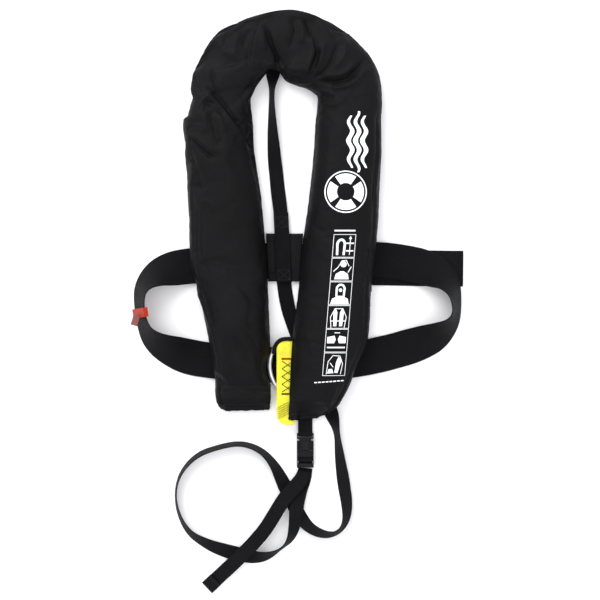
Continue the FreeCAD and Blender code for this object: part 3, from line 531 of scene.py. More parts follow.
# Folds of the cloth: height (below zero for a valley) and width in mm, and the line each one follows.
FOLDS = [
    (-6.9, 4.0, [(-45, 288), (-41, 274), (-37, 260), (-31, 246), (-26, 232), (-22, 218)]),
    (3.1, 4.8, [(-47, 282), (-47, 265), (-44, 247)]),
    (-2.8, 4.8, [(-64, 282), (-71, 268), (-75, 251)]),
    (2.0, 6.4, [(-80, 279), (-86, 257), (-86, 237)]),
    (-3.8, 5.6, [(-10, 299), (-3, 282), (-6, 265), (-13, 251)]),
    (3.0, 4.8, [(4, 293), (8, 275), (5, 257)]),
    (-4.0, 2.8, [(8, 296), (15, 282), (19, 265)]),
    (-4.2, 4.0, [(60, 262), (51, 244), (46, 232), (36, 219), (20, 208)]),
    (2.8, 4.8, [(68, 271), (67, 248), (60, 234), (48, 222)]),
    (3.0, 4.0, [(39, 265), (34, 243), (29, 226), (19, 212)]),
    (-3.0, 3.2, [(29, 254), (27, 237), (22, 220)]),
    (-6.2, 4.8, [(99, 246), (89, 232), (78, 218), (67, 209), (51, 205), (34, 206), (20, 206)]),
    (3.8, 4.8, [(104, 232), (90, 216), (74, 202), (57, 197), (39, 197)]),
    (2.5, 4.0, [(82, 237), (74, 225), (62, 216), (46, 214), (32, 214)]),
    (2.2, 4.0, [(27, 183), (37, 176), (50, 173), (61, 178), (69, 188)]),
    (-2.2, 4.0, [(32, 190), (41, 184), (53, 186)]),
    (-5.5, 3.2, [(-132, 202), (-118, 190), (-111, 185), (-98, 170), (-86, 155), (-74, 137), (-57, 106)]),
    (3.4, 4, [(-128, 190), (-116, 181), (-104, 168), (-92, 152), (-80, 135), (-69, 118)]),
    (3.2, 4.5, [(-138, 229), (-128, 216), (-120, 206), (-113, 190)]),
    (-3.6, 3.5, [(-120, 228), (-117, 213), (-114, 200), (-106, 185)]),
    (-2.4, 4, [(-143, 218), (-139, 201), (-131, 187)]),
    (3.4, 3.6, [(-148, 136), (-138, 126), (-129, 118), (-117, 110), (-104, 104)]),
    (-4.6, 3.8, [(-150, 131), (-140, 119), (-132, 111), (-122, 103), (-111, 97)]),
    (-4.4, 4.5, [(-120, 168), (-117, 153), (-114, 140), (-110, 127), (-103, 113)]),
    (3.0, 4, [(-108, 166), (-104, 148), (-98, 133)]),
    (-3.4, 4, [(-132, 178), (-120, 176), (-111, 173), (-102, 155)]),
    (2.0, 4, [(-128, 165), (-127, 148), (-124, 134)]),
    (-3.4, 6, [(-148, 117), (-143, 93), (-136, 68), (-132, 47)]),
    (-2.4, 3.5, [(-141, 44), (-138, 22), (-139, -5), (-139, -29), (-136, -48), (-129, -68)]),
    (-2.0, 3.5, [(-132, 33), (-132, 2), (-132, -26), (-128, -48), (-121, -72)]),
    (1.6, 4, [(-145, 114), (-145, 72), (-145, 23), (-145, -26)]),
    (1.4, 4, [(-134, 36), (-127, 41), (-118, 34), (-114, 22)]),
    (3.2, 3.5, [(-149, -69), (-139, -82), (-131, -99), (-124, -117), (-117, -141)]),
    (-2.6, 3.5, [(-143, -66), (-132, -82), (-124, -100), (-118, -121), (-113, -138)]),
    (-2.4, 5, [(-89, -141), (-83, -158), (-75, -174), (-65, -191)]),
    (2.2, 5, [(-82, -139), (-71, -156), (-62, -173), (-57, -191)]),
    (-1.8, 5, [(-76, -132), (-62, -148), (-54, -164)]),
    (-2.4, 5, [(-115, -197), (-107, -208), (-97, -214)]),
    (1.6, 5, [(-117, -186), (-106, -198), (-93, -205)]),
    (2.4, 4, [(40, -254), (45, -238), (51, -222), (57, -205)]),
    (-1.2, 5, [(36, -241), (40, -230), (46, -212)]),
    (-1.6, 9, [(76, 173), (72, 114), (76, 58)]),
    (1.4, 10, [(46, 142), (41, 86), (39, 30)]),
    (1.2, 10, [(95, 9), (90, -54), (82, -110)]),
    (-1.4, 6, [(20, 9), (34, -1), (51, 5)]),
    (-1.4, 6, [(90, -138), (76, -159), (74, -183)]),
    (1.2, 6, [(11, -138), (20, -166), (19, -201)]),
]
# Pleats, where the cloth steps up to one side of a line.
PLEATS = [
    (4.0, 4.0, [(-38, 298), (-50, 289), (-57, 279), (-62, 261), (-65, 240), (-66, 215)]),
    (-5.8, 3.2, [(20, 276), (23, 260), (25, 246), (19, 229), (13, 209)]),
    (-2.4, 9, [(-90, -71), (-80, -82), (-69, -96), (-69, -113), (-71, -127), (-58, -146)]),
]
COVER_STEP = 3.3
COVER_COLUMNS = 42
WIDEST_AT = 14.0
COVER_FOOT = 3.2
CROWN_BEND = 2 / 2.35
TUCK = 6.0
PUFF_FRAMES, PUFF_PRESSURE, PUFF_SHRINK, PUFF_CAP = 14, 2.6, -0.035, 6.0
# Where the neck's cloth ends, and where the left lobe is fullest: start, rise, end and fall along y.
LEDGE = (155, 5, 180, 18)
FULLEST = (10, 30, 112, 22)
RING_Y, RING_REACH = -192, 23
STROP_Y = -146


def smooth_step(t):
    t = np.clip(t, 0, 1)
    return t * t * (3 - 2 * t)


def window(v, start, rise, end, fall):
    """Rises smoothly to one after the start and falls after the end."""
    return smooth_step((v - start) / rise) * (1 - smooth_step((v - end) / fall))


def smooth_rows(rows, spacing):
    """Catmull-Rom through the rows, at even steps of the mean edge length."""
    rows = np.asarray(rows, float)
    padded = np.vstack([2 * rows[0] - rows[1], rows, 2 * rows[-1] - rows[-2]])
    dense = []
    for k in range(len(rows) - 1):
        p0, p1, p2, p3 = padded[k:k + 4]
        gap0, gap1, gap2 = (max(np.linalg.norm((b - a)[:4]), 1e-6) for a, b in ((p0, p1), (p1, p2), (p2, p3)))
        m1 = gap1 * ((p2 - p1) / gap1 + (p1 - p0) / gap0) / 2
        m2 = gap1 * ((p2 - p1) / gap1 + (p3 - p2) / gap2) / 2
        for t in np.linspace(0, 1, 24, endpoint=False):
            dense.append((2 * t**3 - 3 * t**2 + 1) * p1 + (t**3 - 2 * t**2 + t) * m1
                         + (-2 * t**3 + 3 * t**2) * p2 + (t**3 - t**2) * m2)
    dense.append(rows[-1])
    dense = np.array(dense)
    gaps = (np.linalg.norm(np.diff(dense[:, 0:2], axis=0), axis=1)
            + np.linalg.norm(np.diff(dense[:, 2:4], axis=0), axis=1)) / 2
    run = np.concatenate([[0], np.cumsum(gaps)])
    even = np.linspace(0, run[-1], int(run[-1] / spacing) + 1)
    return np.stack([np.interp(even, run, dense[:, i]) for i in range(dense.shape[1])], 1), even


def horseshoe_rows(spacing):
    return smooth_rows([(*outer, *inner, crown) for outer, inner, crown in SECTIONS], spacing)


def cover_grid():
    """Grid of points of the puffed cover, with each point's place along and across it."""
    rows, run = horseshoe_rows(COVER_STEP)
    total = run[-1]
    grid = []
    for row, s in zip(rows, run):
        outer, inner, crown = row[0:2], row[2:4], row[4]
        across = inner - outer
        width = np.linalg.norm(across)
        across = across / width
        from_hem = min(s, total - s)
        crown = min(crown, 8.5 + 0.3 * from_hem + 26 * float(smooth_step((from_hem - 4) / 40)))
        widest = min(WIDEST_AT, crown * 0.45)
        foot = min(COVER_FOOT, widest * 0.6)
        half = width / 2
        tuck = min(TUCK, from_hem * 0.4 + 1.0)
        line = []
        for side in (0, 1):
            for t in np.linspace(math.pi / 2, 0, 6, endpoint=False):
                line.append((side, -half + tuck * (1 - math.cos(t)), widest - (widest - foot) * math.sin(t)))
            if side == 0:
                for t in np.linspace(0, math.pi, COVER_COLUMNS):
                    c, q = math.cos(t), max(math.sin(t), 0)
                    rise = widest + (crown - widest) * q ** CROWN_BEND
                    line.append((2, -half * math.copysign(abs(c) ** CROWN_BEND, c), rise))
        near = [v for v in line if v[0] == 0] + [v for v in line if v[0] == 2]
        far = [(1, -v[1], v[2]) for v in line if v[0] == 1][::-1]
        grid.append([(*(outer + across * (half + w)), z, half + w, width, s) for _, w, z in near + far])
    return np.array(grid), total


def refine(grid):
    """Halves a grid's spacing both ways with smooth in-between points."""
    for axis in (0, 1):
        g = np.moveaxis(grid, axis, 0)
        p = np.concatenate([(2 * g[0] - g[1])[None], g, (2 * g[-1] - g[-2])[None]])
        middle = (-p[:-3] + 9 * p[1:-2] + 9 * p[2:-1] - p[3:]) / 16
        made = np.empty((2 * len(g) - 1, *g.shape[1:]))
        made[0::2] = g
        made[1::2] = middle
        grid = np.moveaxis(made, 0, axis)
    return grid


def grid_normals(p):
    along = np.gradient(p, axis=0)
    across = np.gradient(p, axis=1)
    n = unit(np.cross(across, along))
    if n[:, n.shape[1] // 2, 2].mean() < 0:
        n = -n
    return n


def near_line(xy, line):
    """Signed distance from a line and the share of its length passed, for many points."""
    line = np.array(line, float)
    run = distances(line)
    best = np.full(len(xy), 1e9)
    signed = np.zeros(len(xy))
    passed = np.zeros(len(xy))
    for k in range(len(line) - 1):
        a = line[k]
        d = line[k + 1] - a
        t = (xy - a) @ d / (d @ d)
        inside = np.clip(t, 0, 1)
        off = xy - (a + inside[:, None] * d)
        gap = np.linalg.norm(off, axis=1)
        side = np.sign(d[0] * off[:, 1] - d[1] * off[:, 0])
        nearer = gap < best
        best[nearer] = gap[nearer]
        signed[nearer] = (gap * side)[nearer]
        passed[nearer] = (run[k] + inside * (run[k + 1] - run[k]))[nearer]
    return signed, passed / run[-1]


def curved(line, number=4):
    """The line of a fold, rounded between its given points."""
    p = np.array(line, float)
    if len(p) < 3:
        return p
    q = np.vstack([2 * p[0] - p[1], p, 2 * p[-1] - p[-2]])
    found = []
    for k in range(len(p) - 1):
        a, b, c, d = q[k:k + 4]
        for t in np.linspace(0, 1, number, endpoint=False):
            found.append(0.5 * (2 * b + (c - a) * t + (2 * a - 5 * b + 4 * c - d) * t * t
                                + (3 * b - a - 3 * c + d) * t ** 3))
    found.append(p[-1])
    return np.array(found)


def fold_relief(xy):
    """Height of all the folds and pleats over the plan of the cover."""
    total = np.zeros(len(xy))
    for kind, table in (("fold", FOLDS), ("pleat", PLEATS)):
        for height, width, line in table:
            signed, share = near_line(xy, curved(line))
            if kind == "fold":
                shape = 1.15 * height * np.exp(-1.35 * (np.abs(signed) / width) ** 1.05)
            else:
                tall = abs(height)
                high = signed * math.copysign(1, height)
                shape = tall / (1 + np.exp(np.minimum(-high / (0.16 * width), 700)))
                shape *= np.exp(-np.maximum(high, 0) / (3.6 * width))
                shape -= 0.35 * tall * np.exp(-((high + 0.5 * width) / (0.8 * width)) ** 2)
            total += shape * smooth_step(share / 0.22) * smooth_step((1 - share) / 0.22)
    return total


def field(points, scale, seed, octaves):
    """Fractal noise at points in space."""
    return np.array([noise.fractal(Vector((x * scale, y * scale, z * scale * 0.6 + seed)), 1.0, 2.0, octaves)
                     for x, y, z in points])


def cloth_puff(grid, hold, freedom):
    """Lets the cover puff and wrinkle as cloth; each point may move by the cap at most."""
    rows, columns = grid.shape[:2]
    start = grid[:, :, :3].reshape(-1, 3)
    obj = mesh_piece("puff", start * MM, grid_faces(rows, columns))
    group = obj.vertex_groups.new(name="held")
    for k, share in enumerate(hold.ravel()):
        group.add([k], float(share), "REPLACE")
    cloth = obj.modifiers.new("cloth", "CLOTH")
    s = cloth.settings
    s.quality = 6
    s.mass = 0.15
    s.tension_stiffness = 12
    s.compression_stiffness = 12
    s.shear_stiffness = 4
    s.bending_stiffness = 0.25
    s.vertex_group_mass = "held"
    s.pin_stiffness = 1.0
    s.use_pressure = True
    s.uniform_pressure_force = PUFF_PRESSURE
    s.shrink_min = PUFF_SHRINK
    s.effector_weights.gravity = 0
    cloth.collision_settings.use_collision = False
    cloth.point_cache.frame_start = 1
    cloth.point_cache.frame_end = PUFF_FRAMES
    for f in range(1, PUFF_FRAMES + 1):
        SCENE.frame_set(f)
    solved = obj.evaluated_get(bpy.context.evaluated_depsgraph_get()).to_mesh()
    end = np.array([v.co[:] for v in solved.vertices]) / MM
    SCENE.frame_set(1)
    mesh = obj.data
    bpy.data.objects.remove(obj)
    bpy.data.meshes.remove(mesh)
    move = end - start
    far = np.linalg.norm(move, axis=1)
    move *= (np.minimum(far, PUFF_CAP) / np.maximum(far, 1e-9))[:, None]
    move = move.reshape(rows, columns, 3) * freedom[:, :, None]
    low = smooth_step((26 - start.reshape(rows, columns, 3)[:, :, 2]) / 14)
    move[:, :, :2] *= (1 - 0.95 * low)[:, :, None]
    out = grid.copy()
    out[:, :, :3] += move
    return out


def puffed_grid():
    """The cover's fine grid: soft lumps, puffed as cloth, and its length."""
    grid, total = cover_grid()
    lumps = field(grid[:, :, :3].reshape(-1, 3), 1 / 62, 4.0, 2).reshape(grid.shape[:2])
    top = smooth_step((grid[:, :, 2] - 8) / 14)
    grid[:, :, :3] += grid_normals(grid[:, :, :3]) * (lumps * 1.5 * top)[:, :, None]
    hold = np.zeros(grid.shape[:2])
    for sewn in (np.s_[:, :6], np.s_[:, -6:], np.s_[:3], np.s_[-3:]):
        hold[sewn] = 1
    share = grid[:, :, 5] / total
    freedom = 0.3 + 0.7 * smooth_step((share - 0.24) / 0.1) * smooth_step((0.64 - share) / 0.08)
    grid = cloth_puff(grid, hold, freedom)
    return refine(grid), total


def cloth_relief(points, inset, inner, run, total):
    """How far the cloth stands proud: folds, wrinkles, puckers at the seams, hems and the closure's lip."""
    high = smooth_step((points[:, 2] - 9) / 16)
    relief = fold_relief(points[:, :2]) * np.maximum(high, 0.45)
    relief += 0.35 * field(points, 1 / 30, 9.0, 3) * high
    pucker = field(points * np.array([0.5, 1, 1]), 1 / 7.5, 2.0, 1)
    relief += 0.45 * pucker * np.exp(-np.maximum(np.minimum(inner, inset + 6), 0) / 9)
    from_hem = np.minimum(run, total - run)
    hem_wave = np.array([noise.noise((x / 6.5, 1.7 + (y > 0), 0.3)) for x, y, _ in points])
    relief += 0.8 * hem_wave * np.exp(-(from_hem / 9) ** 2)
    relief -= 0.7 * np.exp(-((from_hem - 6.0) / 1.6) ** 2)
    on_lobes = smooth_step((run - total * 0.62) / 40) + smooth_step((total * 0.30 - run) / 60) * 0.5
    relief -= 1.9 * np.exp(-((inset - 8.0) / 1.8) ** 2) * on_lobes
    relief += 0.8 * np.exp(-((inset - 4.0) / 2.2) ** 2) * on_lobes
    return relief


def shape_edges(points, inset, inner, from_hem, left):
    """Uneven hems with rounded corners, the left lobe's ledge, and room for the ring and the strop."""
    scallop = np.array([noise.noise((x / 5.5, 8.2, 0.0)) for x in points[:, 0]])
    corner = np.clip(1 - inset / 13.0, 0, 1) ** 2 * 7.0 + np.clip(1 - inner / 7.0, 0, 1) ** 2 * 2.0
    points[:, 1] += np.exp(-(from_hem / 7) ** 2) * (1.3 * scallop + corner)
    for place, move in ((LEDGE, 5.0), (FULLEST, -2.0)):
        points[:, 0] += np.where(left, move * window(points[:, 1], *place) * np.exp(-(inset / 13) ** 2), 0)
    by_ring = np.clip(1 - ((points[:, 1] - RING_Y) / RING_REACH) ** 2, 0, 1)
    by_ring *= smooth_step((points[:, 0] + 62) / 20)
    points[:, 0] -= np.where(left, 5.4 * by_ring, 0)
    pressed = np.minimum(points[:, 2], 7.0 + 4.5 * np.maximum(inner - 0.5, 0))
    sink = (pressed - points[:, 2]) * smooth_step(by_ring * 1.4 - 0.3)
    points[:, 2] += np.where(left & (inner < 22), sink, 0)
    over = (points[:, 0] < 4) & (points[:, 1] < STROP_Y) & ~left
    close = smooth_step((4 - points[:, 0]) / 6) * smooth_step((STROP_Y - points[:, 1]) / 8)
    risen = np.maximum(points[:, 2], 17.9 + 0.35 * np.maximum(points[:, 2] - 3, 0))
    points[:, 2] = np.where(over, points[:, 2] + (risen - points[:, 2]) * close, points[:, 2])
    points[:, 2] = np.maximum(points[:, 2], 2.4)


def turn_hems(p):
    """Both hems turn under and close down on the panel behind."""
    extra = []
    for end, nearer in ((0, 3), (-1, -4)):
        edge = p[end]
        inward = unit((p[nearer] - edge) * (1, 1, 0))
        turned = edge + inward * 2.2
        turned[:, 2] = np.minimum(edge[:, 2], np.maximum(edge[:, 2] * 0.35, 2.6))
        middle = edge - inward * 0.7
        middle[:, 2] = (edge[:, 2] + turned[:, 2]) / 2
        extra += [turned[None], middle[None]]
    return np.concatenate([extra[0], extra[1], p, extra[3], extra[2]])


def make_cover():
    grid, total = puffed_grid()
    points = grid[:, :, :3].reshape(-1, 3)
    inset, width, run = (grid[:, :, k].ravel() for k in (3, 4, 5))
    inner = width - inset
    normals = grid_normals(grid[:, :, :3]).reshape(-1, 3)
    points = points + normals * cloth_relief(points, inset, inner, run, total)[:, None]
    shape_edges(points, inset, inner, np.minimum(run, total - run), run < total / 2)
    p = turn_hems(points.reshape(*grid.shape[:2], 3))
    obj = mesh_piece("cover", p.reshape(-1, 3) * MM, grid_faces(*p.shape[:2]))
    if np.array([f.normal.z for f in obj.data.polygons]).mean() < 0:
        obj.data.flip_normals()
    return obj


cover = make_cover()
finish_piece(cover, "cover", replaces=["cover_front"])


def tree_of(obj):
    mesh = obj.data
    return BVHTree.FromPolygons([v.co for v in mesh.vertices], [f.vertices[:] for f in mesh.polygons])


def from_above(tree, x, y):
    """Where a plumb line at x, y in mm first meets a surface, and the surface's direction."""
    return tree.ray_cast(Vector((x * MM, y * MM, 0.2)), Vector((0, 0, -1)))[:2]


cover_tree = tree_of(cover)


def drape(points, proud=0.0):
    """Points (x, y in mm) laid on the cover from above, and the cloth's direction there."""
    found = []
    normals = []
    for x, y in points:
        hit, normal = from_above(cover_tree, x, y)
        if hit is None:
            found.append((x * MM, y * MM, 0.012))
            normals.append((0, 0, 1))
        else:
            if normal.z < 0:
                normal = -normal
            found.append(tuple(hit + normal * proud * MM))
            normals.append(tuple(normal))
    return np.array(found), np.array(normals)


# ------------------------------------------------------------------ soft pieces from their solids
def soft_copy(name, node, voxel, smooth):
    """A soft form that starts from a CAD solid: remeshed and smoothed."""
    obj = linked(name, NODES[node].data.copy())
    remesh = obj.modifiers.new("remesh", "REMESH")
    remesh.mode = "VOXEL"
    remesh.voxel_size = voxel * MM
    relax = obj.modifiers.new("relax", "SMOOTH")
    relax.factor = 0.5
    relax.iterations = smooth
    mesh = applied(obj)
    mesh.polygons.foreach_set("use_smooth", [True] * len(mesh.polygons))
    mesh.update()
    return obj


def shift_points(obj, mover):
    p = np.array([v.co[:] for v in obj.data.vertices])
    p = mover(p / MM) * MM
    obj.data.vertices.foreach_set("co", p.astype(np.float32).ravel())
    obj.data.update()


def plan_noise(p, wide, long, seed):
    """Smooth noise over the plan, with its own lengths along x and y."""
    return np.array([noise.noise((x / wide, y / long, seed)) for x, y, _ in p])


QUILT_ROW = 46.0


def quilt(p):
    """Sewn channels across the underside of the back panels, with soft rises between."""
    under = p[:, 2] < 1.2
    phase = (p[:, 1] + 1000) % QUILT_ROW
    from_seam = np.minimum(phase, QUILT_ROW - phase)
    groove = 1.9 * np.exp(-from_seam / 3.2)
    ripple = 0.5 * plan_noise(p, 14, 14, 2.0) + 0.35 * plan_noise(p, 5, 9, 6.0) * np.exp(-from_seam / 7)
    p[:, 2] += np.where(under, groove + np.maximum(ripple, -p[:, 2] * 0.8), 0)
    p[:, 0] += 6.0 * window(p[:, 1], 150, 8, 186, 14) * smooth_step((-126 - p[:, 0]) / 14)
    return p


for piece_name, node in (("panel_left", "back_panel_left"), ("panel_right", "back_panel_right"),
                         ("collar_lining", "collar_pad")):
    panel = soft_copy(piece_name, node, 1.7, 3)
    shift_points(panel, quilt)
    finish_piece(panel, "lining", replaces=[node])

bladder = soft_copy("bladder_folds", "bladder", 3.6, 8)


def sink_bladder(p):
    """The folded bladder settles under the cover, with the pleats of its folds."""
    pleat = plan_noise(p, 9, 60, 1.0)
    top = smooth_step((p[:, 2] - 16) / 10)
    hem = smooth_step((-205 - p[:, 1]) / 45)
    p[:, 1] += 15 * hem
    p[:, 0] += 7 * smooth_step((-104 - p[:, 0]) / 20) * np.exp(-((p[:, 1] - 115) / 90) ** 4)
    p[:, 0] -= 19 * np.exp(-((p[:, 1] + 187) / 42) ** 4) * smooth_step((p[:, 0] + 80) / 30) * (p[:, 0] < -20)
    p[:, 2] -= top * (3.5 + 0.13 * np.maximum(p[:, 2] - 16, 0) + 1.2 * pleat)
    cover_low = []
    for x, y, z in p:
        found = []
        for dx, dy in ((0, 0), (4, 0), (-4, 0), (0, 4), (0, -4)) if z > 10 else ():
            hit = from_above(cover_tree, x + dx, y + dy)[0]
            found.append(hit.z / MM if hit else 9.0)
        cover_low.append(min(found, default=9.0))
    cover_low = np.array(cover_low)
    p[:, 2] = np.minimum(p[:, 2], np.maximum(cover_low - 2.4, 7.5))
    return p


shift_points(bladder, sink_bladder)
finish_piece(bladder, "bladder", replaces=["bladder"])

bladder_tree = tree_of(bladder)


def bladder_patch(name, x0, x1, y0, y1):
    """Tape laid on the folded bladder, from above."""
    nx, ny = 24, 14
    verts = []
    for y in np.linspace(y0, y1, ny):
        for x in np.linspace(x0, x1, nx):
            hit = from_above(bladder_tree, x, y)[0]
            z = hit.z if hit else 0.02
            verts.append((x * MM, y * MM, z + 0.0004))
    top = len(verts)
    verts += [(x, y, z - 0.0003) for x, y, z in verts]
    faces = grid_faces(ny, nx)
    faces += [tuple(top + v for v in f[::-1]) for f in faces]
    return mesh_piece(name, verts, faces)


finish_piece(bladder_patch("reflective_left", -122, -72, 66, 104), "reflective",
             replaces=["reflective_tape"])
finish_piece(bladder_patch("reflective_right", 36, 50, 152, 188), "reflective")


def copied_strip(name, node, look):
    """A thin flat tape with a softened edge, from its own solid."""
    obj = linked(name, NODES[node].data.copy())
    soften = obj.modifiers.new("soften", "BEVEL")
    soften.width = 0.3 * MM
    soften.segments = 2
    soften.limit_method = "ANGLE"
    applied(obj)
    return finish_piece(obj, look, replaces=[node])


copied_strip("tape_hook", "closure_hook_tape", "hook")
copied_strip("tape_loop", "closure_loop_tape", "hook")


def inside_edge(inset, side=0, spacing=3.0):
    """Plan points inside the horseshoe's outer (0) or inner (1) edge, and the share of its length at each."""
    rows, run = horseshoe_rows(spacing)
    across = unit(rows[:, 2:4] - rows[:, 0:2])
    line = rows[:, 2:4] - across * inset if side else rows[:, 0:2] + across * inset
    return line, run / run[-1]


BINDING_INSET, BINDING_HEIGHT = 2.0, 6.2
for side in (0, 1):
    rim, _ = inside_edge(BINDING_INSET, side, 4.0)
    rim = np.column_stack([rim, np.full(len(rim), BINDING_HEIGHT)])[2:-2] * MM
    upright = np.full(len(rim), math.pi / 2)
    binding, _ = webbing_piece("binding_%d" % side, rim, upright, 3.9, 1.3, 0.15, 5.0 + side)
    finish_piece(binding, "binding")

# ------------------------------------------------------------------ belts and back strap
for name, route, width, thick, wave, seed, look, node in (
        ("belt_waist", BELT_LEFT, BELT_WIDTH, BELT_THICK, 0.35, 1.0, "belt", "waist_belt"),
        ("belt_front_right", BELT_RIGHT, BELT_WIDTH, BELT_THICK, 0.35, 2.0, "belt", "front_strap_right"),
        ("strap_back", BACK_STRAP, STRAP_WIDTH, STRAP_THICK, 0.3, 3.0, "strap", "back_strap")):
    line, lean = route_line(route, width, thick)
    strap, _ = webbing_piece(name, line, lean, width, thick, wave, seed)
    finish_piece(strap, look, replaces=[node])

for name, node, spot in (
        ("loop_left_upper", "belt_loop_left_upper", (-104, -84, -78, -10, 0.3, 1.4)),
        ("loop_left_lower", "belt_loop_left_lower", (-94, -74, -216, -148, 0.3, 1.4)),
        ("loop_right_upper", "belt_loop_right_upper", (84, 104, -84, -6, 0.12, 0.32)),
        ("loop_right_lower", "belt_loop_right_lower", (52, 72, -215, -149, 0.3, 1.4))):
    strip = straight(name, *spot)
    finish_piece(strip, "strap", replaces=[node])
    x0, x1, y0, y1, z0, _ = spot
    if z0 > 0.2:
        seams = [path for low in (y0 + 2, y1 - 8)
                 for path in box_stitch(x0 + 2, x1 - 2, low, low + 6, z0 - 0.03)]
        finish_piece(thread_mesh(name + "_stitches", seams, 0.24 * MM, 2.6 * MM), "thread")


def slab_piece(name, corners, z0, z1, relief, cells=26):
    """A thin sewn panel: four corners, a rounded rim and a relief on its upper face."""
    a, b, c, d = [np.array(p, float) for p in corners]
    upper = []
    for r in range(cells):
        t = r / (cells - 1)
        left = a + (d - a) * t
        right = b + (c - b) * t
        for q in range(cells):
            s = q / (cells - 1)
            x, y = left + (right - left) * s
            on_rim = min(s, 1 - s, t, 1 - t) * (cells - 1) < 1
            upper.append((x, y, z1 - 0.35 * (z1 - z0) if on_rim else z1 + relief(x, y)))
    return closed_slab(name, upper, [(x, y, z0) for x, y, _ in upper], cells, cells)


sleeve = slab_piece("belt_sleeve", [(-44, -3), (8, -3), (3, -70), (-41, -70)], 3.9, 4.7,
                    lambda x, y: 0.25 * noise.noise((x / 9, y / 9, 0)))
finish_piece(sleeve, "binding", replaces=["back_belt_sleeve"])
anchor = slab_piece("strap_doubled", [(-33.5, 26.5), (-12.7, 26.5), (-8, -71), (-29, -71)], 5.3, 7.7,
                    lambda x, y: 0.28 * math.sin(y * math.tau / 2.6), 76)
finish_piece(anchor, "strap", replaces=["back_strap_anchor"])
patch = slab_piece("sleeve_patch", [(-43, -14), (-33.6, -14), (-31, -58), (-41, -58)], 5.0, 6.1,
                   lambda x, y: 0.15 * noise.noise((x / 3, y / 3, 0)))
finish_piece(patch, "binding", replaces=["back_patch"])
seams = (box_stitch(-31, -13.5, 20, 6, 7.8) + box_stitch(-27, -10.5, -54, -68, 7.75)
         + [flat_path([(-41, -5), (5, -5)], 4.8), flat_path([(-39, -68), (1, -68)], 4.8)])
finish_piece(thread_mesh("sleeve_stitches", seams, 0.28 * MM, 3.0 * MM), "thread")


# ------------------------------------------------------------------ crotch strap
strap_route = STRAP_ROOT + STRAP_MAIN[1:]
line, lean = route_line(strap_route, STRAP_WIDTH, STRAP_THICK)
crotch, crotch_length = webbing_piece("crotch_strap", line, lean, STRAP_WIDTH, STRAP_THICK, 0.3, 4.0)
crotch.data.materials.append(M["strap"])
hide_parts("crotch_strap_root", "crotch_strap_main")
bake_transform(crotch)

tail_line, tail_lean = route_line(STRAP_TAIL, STRAP_WIDTH, STRAP_THICK)
tail, tail_length = webbing_piece("crotch_tail", tail_line, tail_lean, STRAP_WIDTH, STRAP_THICK, 0.3, 5.0)
finish_piece(tail, "strap", "strap_plug", ["crotch_strap_tail"])


def side_band(name, profile, x0, x1, thick):
    """Webbing bent in the upright plane along y: the profile's points are (y, z)."""
    p = nurbs_points([((x0 + x1) / 2 * MM, y * MM, z * MM) for y, z in profile], 10)
    ahead = unit(np.gradient(p, axis=0))
    across = np.array([1.0, 0, 0])
    half = (x1 - x0) / 2 * MM
    run = distances(p)
    share = [-1, -0.9, -0.3, 0.3, 0.9, 1]
    plump = [0.4, 1, 1, 1, 1, 0.4]
    loop = list(zip(share, plump)) + [(s, -q) for s, q in zip(share[::-1], plump[::-1])]
    verts = []
    uvs = []
    for k in range(len(p)):
        face = np.cross(ahead[k], across)
        verts += [p[k] + across * s * half + face * q * thick / 2 * MM for s, q in loop]
        uvs += [(run[k], s * half + 0.1) for s, _ in loop]
    return mesh_piece(name, verts, tube_faces(len(p), len(loop)), uvs)


BUCKLE_TOP, BUCKLE_END = -282.0, -330.0
BUCKLE_SIDES = (1.0, 21.0)
t, e = BUCKLE_TOP, BUCKLE_END
WRAP_PROFILE = [(e - 0.2, 1.0), (e + 12, 1.0), (e + 18.4, 1.1), (e + 18.5, 7.6), (e + 12, 7.8),
                (e + 7.1, 7.7), (e + 7.0, 3.1), (e - 0.2, 3.0)]
wrap = side_band("crotch_wrap", WRAP_PROFILE, *BUCKLE_SIDES, 1.4)
finish_piece(wrap, "strap", "strap_plug", ["crotch_strap_wrap"])
TAB_PROFILE = [(-228, 2.75), (-262, 2.75), (t - 4.2, 2.8), (t - 4.2, 7.0), (t + 1.4, 7.0),
               (t + 4.6, 4.1), (-262, 4.05), (-228, 4.05)]
tab = side_band("buckle_webbing_tab", TAB_PROFILE, *BUCKLE_SIDES, 1.1)
finish_piece(tab, "strap", replaces=["buckle_tab"])

# The strap's end is folded three times and sewn into a stiff tab.
END_X, END_Y = STRAP_TAIL[-1][:2]
END_DIRECTION = (Vector(STRAP_TAIL[-1][:2]) - Vector(STRAP_TAIL[-2][:2])).normalized()


def along_tab(s, w, z):
    """A point of the folded end: s along it, w to its side, z up, all in mm."""
    dx, dy = END_DIRECTION
    return np.array((END_X + dx * s - dy * w, END_Y + dy * s + dx * w, z)) * MM


tab_line = np.array([along_tab(s, 0, 1.75) for s in np.linspace(0.2, 17, 16)])
end_tab, _ = webbing_piece("strap_end_fold", tab_line, np.zeros(16), 20.6, 2.9, 0.2, 6.0)
finish_piece(end_tab, "strap", "strap_plug", ["strap_end_tab"])
tab_paths = [([along_tab(s, -8.6, 3.25), along_tab(s, 8.6, 3.25)], (0, 0, 1)) for s in (2, 4, 15.4)]
end_stitch = thread_mesh("end_stitches", tab_paths, 0.26 * MM, 2.4 * MM)
finish_piece(end_stitch, "thread", "strap_plug")


# ------------------------------------------------------------------ lifting strop and ring loop
STROP_TOP, STROP_LOW = -152.6, -270.0
STROP_LEFT, STROP_RIGHT = -29.0, -2.0
STROP_BASE, STROP_FACE = 13.2, 16.8


